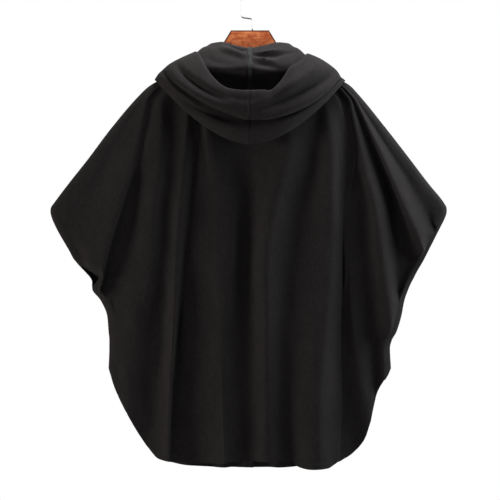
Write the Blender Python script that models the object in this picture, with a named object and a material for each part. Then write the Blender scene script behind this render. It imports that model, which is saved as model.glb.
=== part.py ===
"""Hooded wool cloak with batwing sides, hung on a flat wooden hanger.

Frame: the origin is where a rail bears inside the hook. +Z is up, +Y is the way the
cloak's front faces and +X is the wearer's right, so a viewer on the -Y side sees its back.
A drop is a distance down from the rail, a reach is a distance from the middle plane of the
hanger, and a rise is how far a fold stands out of the cloak's plain form. Sizes are in
millimetres until the meshes are made.
"""

import math

import bpy
import numpy as np

MM = 0.001

# --- cloth -------------------------------------------------------------------------------
CLOTH = 2.0                 # thickness of the wool
SEAM_GAP = 0.3              # between the pieces that a seam joins
NECK_SEAM_GAP = 0.9         # the same along the curved neckline

# --- cloak body --------------------------------------------------------------------------
NECK_DROP = 141.0           # the neck points, where the shoulder seams start
BACK_NECK_DIP = 17.0        # how far the neckline dips behind
FRONT_NECK_DIP = 74.0       # and in front
BACK_NECK_REACH = 20.0      # how far the neckline stands behind the hanger
FRONT_NECK_REACH = 30.0
NECK_ROUND = 0.8            # how squarely the neckline goes round: 1 is an ellipse
BACK_NECK_BEND = 2.2        # how flat its dip is
FRONT_NECK_BEND = 1.6
DIP_FADE = 200.0            # the neckline's dip fades out of the rows over this drop
NECK_FADE = 70.0            # and its reach over this one
THROAT_HALF = 3.0           # half the gap between the fronts, at the throat
HEM_HALF = 1.5              # half the gap between the fronts, at the hem
LEVEL_END = 714.0           # rows are level down to here, and then turn to the hem's curve
LOWEST = 1012.0
SIDE_REACH = 12.0           # reach of the body's plain form beside its outline
BODY_SQUARE = 2.4           # how squarely the plain form goes across
SHOULDER_TURN = 14.0        # the cloth turns from the seam to the plain form in this width
SIDE_TURN = 22.0
SLEEVE_DROP = 600.0         # the turn widens below here
TURN_FADE = 60.0            # over this drop

# The outline, seen from behind. A shoulder seam runs down to the wing tip, the sleeve is
# open from there to the underarm, and the side seam closes the body down to the vent. The
# back's left cuff is folded in at the underarm.
OUTLINE = {
    "columns": ("drop", "left_back", "left_front", "right"),
    "rows": (
        (141.0, -84.0, -84.0, 84.0),
        (168.0, -140.0, -140.0, 140.0),
        (200.5, -208.0, -208.0, 208.0),
        (215.0, -225.0, -225.0, 222.5),
        (290.0, -290.0, -290.0, 284.0),
        (357.0, -340.5, -340.5, 336.0),
        (407.0, -380.0, -380.0, 374.0),
        (449.0, -411.5, -411.5, 407.5),
        (458.0, -417.5, -417.5, 412.0),
        (466.0, -418.0, -418.0, 412.0),
        (475.0, -416.0, -416.0, 409.5),
        (500.0, -405.0, -405.0, 397.0),
        (550.0, -376.5, -376.5, 371.5),
        (567.0, -367.5, -368.5, 363.0),
        (592.0, -331.0, -346.0, 348.5),
        (603.0, -316.0, -336.0, 343.0),
        (613.0, -321.0, -331.0, 338.0),
        (626.0, -331.0, -331.0, 332.5),
        (651.0, -313.0, -313.0, 323.5),
        (684.0, -299.0, -299.0, 317.0),
        (718.0, -296.0, -296.0, 306.5),
        (735.0, -294.5, -294.5, 297.0),
        (752.0, -294.5, -294.5, 293.0),
        (794.0, -296.0, -296.0, 295.0),
    ),
}

# How far a panel's edge stands off the middle plane, nothing where a seam closes it, and
# how closely the columns are drawn together beside it.
EDGE = {
    "columns": ("drop", "reach", "left_pinch", "right_pinch"),
    "rows": (
        (141.0, 0.0, 0.5, 0.5),
        (231.0, 0.0, 0.5, 0.5),
        (336.0, 0.0, 1.0, 1.0),
        (452.0, 0.0, 1.0, 1.0),
        (472.0, 2.5, 1.0, 1.0),
        (500.0, 8.0, 1.0, 1.0),
        (560.0, 10.0, 0.7, 0.8),
        (588.0, 9.5, 0.3, 0.6),
        (603.0, 8.0, 0.2, 0.6),
        (613.0, 3.0, 0.25, 0.6),
        (628.0, 0.0, 0.5, 0.6),
        (714.0, 0.0, 0.5, 0.5),
        (794.0, 0.0, 0.5, 0.5),
    ),
}
EDGE_STEPS = (3.5, 9.0, 20.0)   # columns beside an edge, before the pinch
LEAST_CELL = 1.5                # between two columns, before the lines draw together
HELD_FADE = 12.0                # a fold has run out where its line is held this far from its own x
CENTRE_REACH = {
    "columns": ("drop", "reach"),
    "rows": (
        (141.0, 20.0), (231.0, 24.0), (336.0, 30.0), (462.0, 35.0), (588.0, 39.0),
        (714.0, 43.0), (861.0, 46.0), (1012.0, 49.0),
    ),
}
LEAST_REACH = {                 # the cloth stays clear of the hanger and of the other panel
    "columns": ("drop", "reach"),
    "rows": ((141.0, 8.8), (226.0, 8.8), (262.0, 4.5), (1012.0, 4.5)),
}

# The hems, which curve down from the two vents.
HEM = {
    "columns": ("x", "back_drop", "front_drop"),
    "rows": (
        (-296.0, 794.0, 794.0),
        (-283.0, 834.0, 837.0),
        (-268.0, 866.0, 871.0),
        (-231.0, 932.0, 938.0),
        (-208.0, 964.0, 972.0),
        (-190.0, 981.0, 988.0),
        (-172.0, 985.0, 996.0),
        (-120.0, 990.0, 1003.0),
        (-84.0, 990.0, 1007.0),
        (-6.0, 985.0, 1008.0),
        (86.0, 985.0, 1007.0),
        (100.0, 996.0, 1006.0),
        (125.0, 1000.5, 1004.0),
        (160.0, 999.5, 1000.0),
        (180.0, 990.0, 993.0),
        (208.0, 976.0, 981.0),
        (235.0, 949.0, 953.0),
        (250.0, 915.0, 919.0),
        (257.0, 880.0, 884.0),
        (270.0, 836.0, 839.0),
        (288.0, 809.0, 811.0),
        (295.0, 794.0, 794.0),
    ),
}

# Folds. Each row is a line down the cloak, a ridge or the foot of one: how many columns of
# the mesh lie up to it from the line before, its x, and its rise, at seven drops. Above the
# first drop the lines draw together towards the neck.
FOLD_DROPS = (231.0, 336.0, 462.0, 588.0, 714.0, 861.0, 1003.0)
BACK_FOLDS = {
    "columns": ("name", "cells", "x", "rise"),
    "rows": (
        ("left wing", 2, (-227, -290, -345, -335, -330, -330, -330), (0, 2, 4, 3, 0, 0, 0)),
        ("left wing edge", 2, (-217, -241, -268, -303, -325, -325, -325), (1, 7, 12, 6, 0, 0, 0)),
        ("left wing foot", 1, (-210, -231, -257, -294, -320, -320, -320), (-2, -7, -12, -6, 0, 0, 0)),
        ("left wing trough", 1, (-204, -221, -244, -284, -315, -315, -315), (-3, -7, -10, -7, 0, 0, 0)),
        ("left ray", 2, (-190, -193, -211, -239, -300, -310, -310), (2, 5, 6, 6, 1, 0, 0)),
        ("left groove", 3, (-162, -161, -176, -193, -203, -218, -236), (-4, -5, -6, -6, -6, -6, -3)),
        ("left pleat", 2, (-127, -124, -134, -148, -157, -165, -172), (3, 6, 9, 11, 12, 12, 11)),
        ("left pleat foot", 1, (-118, -115, -125, -139, -148, -157, -164), (-4, -8, -11, -12, -13, -13, -11)),
        ("left pleat trough", 1, (-108, -104, -112, -124, -131, -141, -148), (-5, -9, -11, -13, -14, -14, -12)),
        ("mid left", 3, (-98, -88, -72, -67, -64, -62, -59), (2, 4, 6, 7, 8, 8, 7)),
        ("mid left foot", 1, (-86, -76, -59, -55, -53, -51, -49), (-1, -2, -3, -4, -5, -6, -6)),
        ("mid left trough", 1, (-46, -40, -30, -24, -22, -20, -18), (-2, -3, -5, -6, -7, -7, -7)),
        ("middle", 2, (70, 68, 50, 43, 33, 28, 25), (2, 3, 4, 4, 4, 5, 5)),
        ("mid right trough", 2, (134, 135, 107, 94, 77, 74, 74), (-1, -3, -4, -6, -7, -7, -7)),
        ("mid right", 2, (158, 157, 138, 130, 124, 119, 116), (0, 1, 1, 1, 0, 0, 0)),
        ("right pleat", 2, (186, 187, 183, 181, 179, 180, 183), (4, 7, 8, 9, 10, 11, 10)),
        ("right pleat foot", 1, (192, 195, 192, 190, 188, 189, 192), (-3, -6, -8, -9, -10, -10, -9)),
        ("right groove", 1, (197, 203, 202, 201, 205, 211, 213), (-4, -8, -9, -10, -10, -9, -7)),
        ("right side", 1, (201, 211, 213, 221, 229, 246, 261), (-4, -7, -5, -4, -3, 0, 0)),
        ("right side trough", 1, (205, 221, 240, 248, 254, 263, 269), (-4, -9, -11, -10, -8, -2, 0)),
        ("right wing ray", 1, (210, 239, 270, 293, 315, 320, 320), (3, 7, 10, 9, 1, 0, 0)),
        ("right wing trough", 1, (215, 256, 301, 330, 345, 345, 345), (-2, -7, -10, -6, 0, 0, 0)),
        ("right wing edge", 1, (220, 282, 342, 395, 400, 400, 400), (3, 9, 11, 3, 0, 0, 0)),
        ("right wing", 2, (224, 300, 376, 410, 420, 420, 420), (0, 2, 2, 0, 0, 0, 0)),
    ),
}
LEFT_FRONT_FOLDS = {
    "columns": ("name", "cells", "x", "rise"),
    "rows": (
        ("left wing", 2, (-227, -292, -358, -360, -360, -360, -360), (0, 2, 3, 0, 0, 0, 0)),
        ("left wing edge", 2, (-220, -266, -314, -340, -350, -350, -350), (2, 8, 10, 4, 0, 0, 0)),
        ("left wing trough", 2, (-212, -241, -274, -300, -320, -320, -320), (-3, -8, -10, -7, 0, 0, 0)),
        ("left ray", 2, (-199, -214, -234, -254, -290, -305, -305), (3, 6, 8, 7, 3, 0, 0)),
        ("left groove", 2, (-181, -187, -199, -208, -214, -224, -238), (-4, -7, -9, -9, -8, -7, -3)),
        ("left pleat", 2, (-160, -160, -163, -168, -172, -172, -168), (4, 7, 9, 10, 10, 10, 9)),
        ("left pleat trough", 2, (-138, -134, -134, -138, -141, -138, -132), (-4, -8, -10, -11, -11, -11, -10)),
        ("mid left", 2, (-98, -92, -88, -90, -92, -90, -88), (3, 5, 6, 6, 6, 7, 8)),
        ("mid left trough", 2, (-62, -57, -53, -54, -56, -56, -55), (-2, -4, -5, -6, -7, -7, -7)),
        ("left front", 2, (-22, -22, -24, -27, -30, -34, -38), (1, 2, 3, 4, 5, 6, 6)),
    ),
}
RIGHT_FRONT_FOLDS = {
    "columns": ("name", "cells", "x", "rise"),
    "rows": (
        ("right front", 1, (22, 22, 24, 26, 30, 34, 38), (1, 2, 4, 5, 5, 5, 5)),
        ("mid right trough", 2, (58, 55, 55, 59, 62, 62, 62), (-2, -5, -6, -6, -6, -7, -7)),
        ("mid right", 2, (94, 88, 86, 91, 97, 101, 104), (3, 5, 7, 7, 6, 6, 7)),
        ("right pleat trough", 2, (130, 124, 122, 127, 133, 138, 142), (-4, -7, -9, -10, -10, -10, -9)),
        ("right pleat", 2, (151, 148, 149, 155, 162, 167, 168), (4, 8, 9, 10, 10, 9, 8)),
        ("right groove", 2, (176, 180, 189, 199, 206, 214, 224), (-4, -7, -9, -9, -8, -7, -5)),
        ("right ray", 2, (196, 207, 226, 248, 290, 310, 310), (3, 5, 6, 6, 3, 0, 0)),
        ("right wing trough", 2, (208, 236, 268, 298, 330, 330, 330), (-3, -7, -10, -8, 0, 0, 0)),
        ("right wing edge", 2, (217, 262, 309, 340, 360, 360, 360), (2, 7, 9, 5, 0, 0, 0)),
        ("right wing", 2, (223, 296, 368, 380, 380, 380, 380), (0, 1, 2, 0, 0, 0, 0)),
    ),
}

# --- hood --------------------------------------------------------------------------------
# It hangs down behind. A row is a line that runs round it: from the neckline over the
# stand-up roll, down the inner wall to the bottom of the bag, up the lower roll, through
# the tuck and over the upper roll to the face edge. Side sizes are where the line crosses
# the shoulder, back ones at the middle seam and throat ones at the hood's front end.
HOOD_LINES = {
    "columns": (
        "name", "side_x", "side_drop", "back_reach", "back_drop", "bend", "throat_reach", "throat_drop",
    ),
    "rows": (
        ("neckline", 84.0, 141.0, 20.0, 158.0, 2.2, 30.0, 215.0),
        ("stand", 80.5, 127.0, 21.5, 140.0, 2.0, 30.0, 211.0),
        ("roll front", 78.5, 116.5, 26.0, 125.0, 1.2, 30.5, 207.0),
        ("roll top", 82.0, 113.0, 31.0, 122.5, 1.1, 32.5, 204.5),
        ("roll back", 91.0, 119.5, 36.0, 131.0, 1.5, 34.5, 206.0),
        ("inner wall high", 106.0, 136.0, 39.0, 166.0, 2.0, 35.5, 209.0),
        ("inner wall mid", 138.0, 155.0, 44.0, 225.0, 2.0, 36.0, 212.0),
        ("inner wall low", 176.0, 176.0, 51.0, 290.0, 2.0, 37.0, 215.0),
        ("bag inside", 191.0, 188.5, 58.0, 320.0, 2.0, 38.5, 217.5),
        ("bag bottom", 199.0, 190.0, 70.0, 330.0, 2.0, 41.0, 218.0),
        ("lower roll", 194.0, 181.5, 86.0, 319.0, 2.0, 43.0, 215.5),
        ("lower roll top", 187.0, 173.5, 93.0, 295.0, 2.0, 43.5, 212.0),
        ("tuck mouth", 181.0, 169.0, 86.0, 274.0, 2.0, 43.5, 209.0),
        ("tuck", 176.0, 165.0, 86.0, 263.0, 2.0, 43.5, 207.0),
        ("upper roll foot", 169.5, 160.0, 100.0, 274.0, 2.0, 43.5, 205.0),
        ("upper roll", 160.0, 152.5, 110.0, 259.0, 2.1, 43.5, 202.0),
        ("upper roll top", 140.0, 141.5, 106.0, 236.0, 2.3, 43.0, 199.0),
        ("face edge", 118.0, 131.5, 95.0, 218.0, 2.5, 42.5, 196.0),
    ),
}
TAPE_WIDTH = 9.0            # binding over the hood's middle seam, on its inside
TAPE = 0.8
TAPE_CELLS = (1, 17)        # the hood's rows between which it runs

# --- hanger ------------------------------------------------------------------------------
HANGER_HALF_THICK = 6.0
HANGER_TOP = 85.0           # drop of the block's flat top
BLOCK_TOP_HALF = 40.0
BLOCK_SIDE = (57.0, 113.0)  # x and drop of the corners down the block's side
BLOCK_FOOT = (72.0, 133.5)
ARM_STATIONS = (84.0, 120.0, 160.0, 195.0)
ARM_TIP = 203.0
ARM_DEPTH = 27.0            # from an arm's top to its bottom edge, by the block
ARM_TIP_DEPTH = 20.0
ARM_TIP_ROUND = 8.0
ARM_TIP_DIP = 2.0           # from the last station down to where the tip's round would start
ARM_TIP_TURN = (35.0, -70.0)    # degrees between which the round is kept
ARM_SINK = 2.6              # from the shoulder seam's middle to the top of the arm
ARCH = (60.0, 6.0, 12.5)    # half width, side rise and middle rise of the arch below the block
EASED_EDGE = 3.0
SQUARE_EDGE = 60.0          # degrees from which an edge is eased

# --- hook --------------------------------------------------------------------------------
WIRE = 3.2
HOOK_INNER = 16.4           # radius inside the hook, to the wire's face
SHANK_X = 5.0
SHANK_TOP = 66.0
JOG_DROP = 58.5             # where the wire has crossed to the hook's side
BEND = 6.0                  # radius of the shank's two bends
JOG_TILT = 12.0             # degrees by which the crossing rises
HOOK_TIP = 20.0
SHANK_IN_BLOCK = 14.0
SHANK_CLEARANCE = 0.3

# --- sampling of the solids --------------------------------------------------------------
LEVELS = (
    141.0, 150.0, 165.0, 182.0, 200.5, 222.0, 250.0, 290.0, 335.0, 380.0, 420.0, 449.0,
    466.0, 490.0, 525.0, 560.0, 585.0, 603.0, 614.0, 628.0, 660.0, 714.0,
)
SHOULDER_LEVELS = 6         # those that lie over the hanger's arms
HEM_SHARES = (0.16, 0.34, 0.52, 0.7, 0.86, 1.0)     # rows between the last level and the hem
HALVINGS = 24               # to find where a line meets the hem
HOOD_ROUND_CELLS = 22
HOOD_LINE_CELLS = 26
SHARP_ANGLE = 50.0          # degrees from which an edge is shaded sharp


# --- interpolation -----------------------------------------------------------------------
def column(table, name):
    at = table["columns"].index(name)
    return np.array([row[at] for row in table["rows"]])


def smooth(xs, ys, x):
    """A monotone cubic through the points (xs, ys), held level beyond its ends."""
    xs, ys = np.asarray(xs, float), np.asarray(ys, float)
    x = np.clip(x, xs[0], xs[-1])
    step = np.diff(xs)
    slope = np.diff(ys) / step
    tangent = np.zeros(len(xs))
    tangent[0], tangent[-1] = slope[0], slope[-1]
    before, after = slope[:-1], slope[1:]
    turning = before * after <= 0
    mean = 2 * before * after / np.where(turning, 1.0, before + after)
    tangent[1:-1] = np.where(turning, 0.0, mean)
    at = np.clip(np.searchsorted(xs, x, side="right") - 1, 0, len(step) - 1)
    t = (x - xs[at]) / step[at]
    bow = tangent[at] * t * (1 - t) ** 2 - tangent[at + 1] * t * t * (1 - t)
    return ys[at] + (ys[at + 1] - ys[at]) * t * t * (3 - 2 * t) + step[at] * bow


def look_up(table, key, name, x):
    return smooth(column(table, key), column(table, name), x)


def ease(t):
    t = np.clip(t, 0.0, 1.0)
    return t * t * (3 - 2 * t)


def through(points, at):
    """A Catmull-Rom curve through rows of points, read at fractional row numbers."""
    before, after = 2 * points[:1] - points[1:2], 2 * points[-1:] - points[-2:-1]
    padded = np.concatenate([before, points, after])
    row = np.clip(at.astype(int), 0, len(points) - 2)
    t = (at - row)[:, None]
    a, b, c, d = (padded[row + k] for k in range(4))
    bend = (2 * a - 5 * b + 4 * c - d) * t**2 + (3 * b - 3 * c + d - a) * t**3
    return b + ((c - a) * t + bend) / 2


# --- cloak body --------------------------------------------------------------------------
def outline_x(drop, side):
    return look_up(OUTLINE, "drop", side, drop)


def narrowing(drop):
    """How much the fold lines draw together towards the neck."""
    def width(at):
        return outline_x(at, "right") - outline_x(at, "left_front")

    return width(np.minimum(drop, FOLD_DROPS[0])) / width(FOLD_DROPS[0])


def edge_line(side, step, cells):
    """A line beside a panel's edge. A line is its cells, and its x and rise at a drop."""
    inward, pinch = (-1, "right_pinch") if side == "right" else (1, "left_pinch")

    def x_at(drop):
        inset = step * look_up(EDGE, "drop", pinch, drop) * narrowing(drop)
        return outline_x(drop, side) + inward * inset

    return cells, x_at, lambda drop: 0.0


def fold_line(row):
    _, cells, xs, rises = row

    def x_at(drop):
        return smooth(FOLD_DROPS, xs, drop) * narrowing(drop)

    def rise_at(drop):
        fade = ease((drop - NECK_DROP) / (FOLD_DROPS[0] - NECK_DROP))
        return smooth(FOLD_DROPS, rises, drop) * fade

    return cells, x_at, rise_at


def front_line(side):
    """The open front edge, on one side of the middle."""
    def x_at(drop):
        top = NECK_DROP + FRONT_NECK_DIP
        return side * (THROAT_HALF + (HEM_HALF - THROAT_HALF) * ease((drop - top) / (LOWEST - top)))

    return 1, x_at, lambda drop: 0.0


def panel_lines(panel):
    """The lines that a panel's columns follow, from its left to its right."""
    lefts = [edge_line("left_" + panel[:5].strip("_"), step, 1) for step in (0.0, *EDGE_STEPS)]
    rights = [edge_line("right", EDGE_STEPS[-1], 2)]
    rights += [edge_line("right", step, 1) for step in (*EDGE_STEPS[-2::-1], 0.0)]
    if panel == "back":
        return lefts + [fold_line(row) for row in BACK_FOLDS["rows"]] + rights
    if panel == "front_left":
        return lefts + [fold_line(row) for row in LEFT_FRONT_FOLDS["rows"]] + [front_line(-1)]
    return [front_line(1)] + [fold_line(row) for row in RIGHT_FRONT_FOLDS["rows"]] + rights


def hem_end(line, hem):
    """The drop at which a line meets the hem."""
    low, high = LEVEL_END, LOWEST
    for _ in range(HALVINGS):
        middle = (low + high) / 2
        if middle < look_up(HEM, "x", hem, line[1](middle)):
            low = middle
        else:
            high = middle
    return low


def row_across(lines, drops, at):
    """The x and the rise of one row, whose lines are met at their own drops. A line that would
    leave the panel is held beside its edge, where its fold runs out, and all stay in order."""
    x = np.array([line[1](drop) for line, drop in zip(lines, drops)])
    rise = np.array([line[2](drop) for line, drop in zip(lines, drops)])
    room = np.array([line[0] for line in lines]) * LEAST_CELL * narrowing(np.array(drops))
    own_x = x.copy()
    for k in range(1, len(lines) - 1):
        x[k] = max(x[k], x[k - 1] + room[k])
    for k in range(len(lines) - 2, 0, -1):
        x[k] = min(x[k], x[k + 1] - room[k + 1])
    rise *= 1 - ease(np.abs(x - own_x) / HELD_FADE)
    before = np.clip(at.astype(int), 0, len(lines) - 2)
    share = at - before
    row_x = x[before] + (x[before + 1] - x[before]) * share
    return row_x, rise[before] + (rise[before + 1] - rise[before]) * ease(share)


def body_reach(panel, x, rise, drop, level):
    """How far a row stands off the middle plane."""
    left = outline_x(level, "left_back" if panel == "back" else "left_front")
    right = outline_x(level, "right")
    across = np.abs(np.clip(2 * (x - left) / (right - left) - 1, -1.0, 1.0))
    edge = look_up(EDGE, "drop", "reach", level) + SEAM_GAP / 2
    centre = look_up(CENTRE_REACH, "drop", "reach", drop)
    plain = SIDE_REACH + (centre - SIDE_REACH) * (1 - across**BODY_SQUARE)
    folded = np.maximum(plain + rise, look_up(LEAST_REACH, "drop", "reach", drop))
    turn = SHOULDER_TURN + (SIDE_TURN - SHOULDER_TURN) * ease((level - SLEEVE_DROP) / TURN_FADE)
    inset = np.clip(np.minimum(x - left, right - x) / turn, 0.0, 1.0)
    reach = edge + (folded - edge) * np.sqrt(1 - (1 - inset) ** 2)
    neck = BACK_NECK_REACH if panel == "back" else FRONT_NECK_REACH
    at_neck = neck * (1 - across**2) ** (NECK_ROUND / 2) + SEAM_GAP / 2
    return at_neck + (reach - at_neck) * ease((level - NECK_DROP) / NECK_FADE)


def neck_dip(panel, x, level):
    dip, bend = (BACK_NECK_DIP, BACK_NECK_BEND) if panel == "back" else (FRONT_NECK_DIP, FRONT_NECK_BEND)
    across = np.clip(np.abs(x) / outline_x(level, "right"), 0.0, 1.0)
    return dip * (1 - across**bend) * np.clip(1 - (level - NECK_DROP) / DIP_FADE, 0.0, 1.0)


def body_panel(panel):
    """The middle surface of a panel: rows from neckline to hem, columns from left to right."""
    lines = panel_lines(panel)
    cells = [line[0] for line in lines[1:]]
    at = np.concatenate([[0.0]] + [i + np.arange(1, n + 1) / n for i, n in enumerate(cells)])
    rows = []
    for level in LEVELS:
        x, rise = row_across(lines, [level] * len(lines), at)
        rows.append((x, rise, level + neck_dip(panel, x, level), level))
    rows[0][2][:] += NECK_SEAM_GAP / 2
    hem = "back_drop" if panel == "back" else "front_drop"
    ends = np.array([hem_end(line, hem) for line in lines])
    hem_x, _ = row_across(lines, ends, at)
    hem_drop = look_up(HEM, "x", hem, hem_x)
    for share in HEM_SHARES:
        x, rise = row_across(lines, LEVEL_END + share * (ends - LEVEL_END), at)
        drop = LEVEL_END + share * (hem_drop - LEVEL_END)
        rows.append((x, rise, drop, drop))
    side = -1 if panel == "back" else 1
    grid = [
        np.stack([x, side * body_reach(panel, x, rise, drop, level), -drop], axis=1)
        for x, rise, drop, level in rows
    ]
    return np.array(grid)


# --- hood --------------------------------------------------------------------------------
def hood_section(angle):
    """Where the hood's lines cross the section at an angle round the neck: 0 is the middle of
    the back and pi is the throat."""
    line = {name: column(HOOD_LINES, name) for name in HOOD_LINES["columns"][1:]}
    sine, cosine = math.sin(angle), math.cos(angle)
    x = line["side_x"] * sine
    if cosine >= 0:
        reach = -line["back_reach"] * cosine**NECK_ROUND
        fall = line["back_drop"] - line["side_drop"]
        drop = line["side_drop"] + fall * (1 - sine ** line["bend"])
        return np.stack([np.maximum(x, SEAM_GAP / 2), reach, -drop], axis=1)
    reach = line["throat_reach"] * (-cosine) ** NECK_ROUND
    fall = line["throat_drop"] - line["side_drop"]
    drop = line["side_drop"] + fall * (1 - sine**FRONT_NECK_BEND)
    return np.stack([np.maximum(x, THROAT_HALF), reach, -drop], axis=1)


def hood_column(angle):
    return through(hood_section(angle), np.linspace(0.0, len(HOOD_LINES["rows"]) - 1.0, HOOD_LINE_CELLS + 1))


def hood_half(side):
    """The middle surface of half the hood: rows from neckline to face edge."""
    angles = np.linspace(0.0, math.pi, HOOD_ROUND_CELLS + 1)
    grid = np.array([hood_column(angle) for angle in angles]).transpose(1, 0, 2)
    grid[0, :, 2] += NECK_SEAM_GAP / 2
    return grid * (side, 1.0, 1.0)


# --- solids ------------------------------------------------------------------------------
def surface_normals(grid):
    normal = np.cross(np.gradient(grid, axis=0), np.gradient(grid, axis=1))
    return normal / np.linalg.norm(normal, axis=2, keepdims=True)


def square_up(normals, where, axis):
    """Turns the normals of an edge into the plane of its seam, so that the two pieces' edges
    meet squarely."""
    edge = normals[where]
    edge[..., axis] = 0.0
    normals[where] = edge / np.linalg.norm(edge, axis=-1, keepdims=True)


def cloth_wall(name, grid, normals, thickness, material):
    """A closed wall about a middle surface, whose normals point out of its first face."""
    rows, cols = grid.shape[:2]
    half = normals * thickness / 2
    points = np.concatenate([(grid + half).reshape(-1, 3), (grid - half).reshape(-1, 3)])
    behind = rows * cols
    quads = []
    for row in range(rows - 1):
        for col in range(cols - 1):
            a = row * cols + col
            b, c, d = a + cols, a + cols + 1, a + 1
            quads.append((a, b, c, d))
            quads.append((behind + a, behind + d, behind + c, behind + b))
    rim = list(range(cols))
    rim += [row * cols + cols - 1 for row in range(1, rows)]
    rim += [(rows - 1) * cols + col for col in range(cols - 2, -1, -1)]
    rim += [row * cols for row in range(rows - 2, 0, -1)]
    quads += [(a, b, behind + b, behind + a) for a, b in zip(rim, rim[1:] + rim[:1])]
    return solid(name, points, quads, material)


def solid(name, points, faces, material):
    mesh = bpy.data.meshes.new(name)
    mesh.from_pydata([tuple(point) for point in np.asarray(points) * MM], [], faces)
    mesh.materials.append(material)
    mesh.shade_smooth()
    mesh.set_sharp_from_angle(angle=math.radians(SHARP_ANGLE))
    obj = bpy.data.objects.new(name, mesh)
    bpy.context.scene.collection.objects.link(obj)
    return obj


def make_body_panel(name, panel, wool):
    grid = body_panel(panel)
    levels = np.array(LEVELS + HEM_SHARES)
    closed = look_up(EDGE, "drop", "reach", levels) == 0.0
    closed[len(LEVELS):] = True
    normals = surface_normals(grid)
    if panel != "front_right":
        square_up(normals, (closed, 0), 1)
    if panel != "front_left":
        square_up(normals, (closed, -1), 1)
    square_up(normals, (0, slice(None)), 2)
    return cloth_wall(name, grid, normals, CLOTH, wool)


def make_hood_half(name, side, wool):
    grid = hood_half(side)
    normals = surface_normals(grid)
    square_up(normals, (slice(None), 0), 0)
    square_up(normals, (slice(None), -1), 0)
    square_up(normals, (0, slice(None)), 2)
    return cloth_wall(name, grid, normals, CLOTH, wool)


def make_seam_tape(tape_cloth):
    """The binding, laid on the two halves beside their seam and moved into the hood."""
    seam, beside = hood_column(0.0), hood_column(math.pi / HOOD_ROUND_CELLS)
    inward = np.cross(np.gradient(seam, axis=0), (1.0, 0.0, 0.0))
    inward /= np.linalg.norm(inward, axis=1, keepdims=True)
    share = TAPE_WIDTH / 2 / beside[:, :1]
    middle = seam * (0.0, 1.0, 1.0) + inward * (CLOTH / 2 + SEAM_GAP + TAPE / 2)
    edge = middle + (beside - seam * (0.0, 1.0, 1.0)) * share
    grid = np.stack([edge * (-1.0, 1.0, 1.0), middle, edge], axis=1)[slice(*TAPE_CELLS)]
    return cloth_wall("hood_seam_tape", grid, surface_normals(grid), TAPE, tape_cloth)


# --- hanger and hook ---------------------------------------------------------------------
def arc(centre, radius, start, end, steps):
    """Points round an arc, whose angles are in degrees and whose second axis points up."""
    turns = np.radians(np.linspace(start, end, steps))
    return [(centre[0] + radius * math.cos(a), centre[1] + radius * math.sin(a)) for a in turns]


def hanger_outline():
    """The hanger's edge in its own plane, as x and height, from the top middle round its right."""
    shoulder = np.array(LEVELS[:SHOULDER_LEVELS])
    tops = np.interp(ARM_STATIONS, outline_x(shoulder, "right"), shoulder) + ARM_SINK
    top = [(BLOCK_TOP_HALF, -HANGER_TOP), (BLOCK_SIDE[0], -BLOCK_SIDE[1]), (BLOCK_FOOT[0], -BLOCK_FOOT[1])]
    top += [(x, -drop) for x, drop in zip(ARM_STATIONS, tops)]
    round_centre = (ARM_TIP - ARM_TIP_ROUND, -tops[-1] - ARM_TIP_ROUND - ARM_TIP_DIP)
    tip = arc(round_centre, ARM_TIP_ROUND, *ARM_TIP_TURN, 5)
    depths = np.linspace(ARM_TIP_DEPTH, ARM_DEPTH, len(ARM_STATIONS))[1:]
    bottom = [(x, -drop - depth) for x, drop, depth in zip(ARM_STATIONS[-2::-1], tops[-2::-1], depths)]
    foot = -tops[0] - ARM_DEPTH
    arch = [(ARCH[0], foot + ARCH[1]), (ARCH[0] / 2, foot + (ARCH[1] + ARCH[2]) / 2)]
    half = top + tip + bottom + arch
    return half + [(0.0, foot + ARCH[2])] + [(-x, z) for x, z in reversed(half)]


def make_hanger(wood):
    edge = hanger_outline()
    n = len(edge)
    points = [(x, y, z) for y in (-HANGER_HALF_THICK, HANGER_HALF_THICK) for x, z in edge]
    faces = [tuple(range(n - 1, -1, -1)), tuple(range(n, 2 * n))]
    faces += [(i, (i + 1) % n, (i + 1) % n + n, i + n) for i in range(n)]
    hanger = solid("hanger_body", points, faces, wood)
    eased = hanger.modifiers.new("eased edges", "BEVEL")
    eased.width = EASED_EDGE * MM
    eased.segments = 2
    eased.limit_method = "ANGLE"
    eased.angle_limit = math.radians(SQUARE_EDGE)
    hole = hanger.modifiers.new("shank hole", "BOOLEAN")
    hole.operation = "DIFFERENCE"
    hole.object = make_shank_drill()
    return hanger


def make_shank_drill():
    bpy.ops.mesh.primitive_cylinder_add(
        vertices=16,
        radius=(WIRE / 2 + SHANK_CLEARANCE) * MM,
        depth=2 * (SHANK_IN_BLOCK + SHANK_CLEARANCE) * MM,
        location=(SHANK_X * MM, 0.0, -HANGER_TOP * MM),
    )
    drill = bpy.context.object
    drill.name = "shank_drill"
    drill.hide_render = True
    drill.display_type = "WIRE"
    return drill


def hook_path():
    """The wire's line, as x and height: up from the block, across, up, and over in a half circle."""
    radius = HOOK_INNER + WIRE / 2
    path = [(SHANK_X, -HANGER_TOP - SHANK_IN_BLOCK)]
    path += arc((SHANK_X - BEND, -SHANK_TOP), BEND, 0.0, 90.0 - JOG_TILT, 5)
    path += arc((BEND - radius, -JOG_DROP + BEND), BEND, 270.0 - JOG_TILT, 180.0, 5)
    path += arc((0.0, -HOOK_INNER), radius, 180.0, 0.0, 15)
    return path + [(radius, -HOOK_TIP)]


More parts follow.
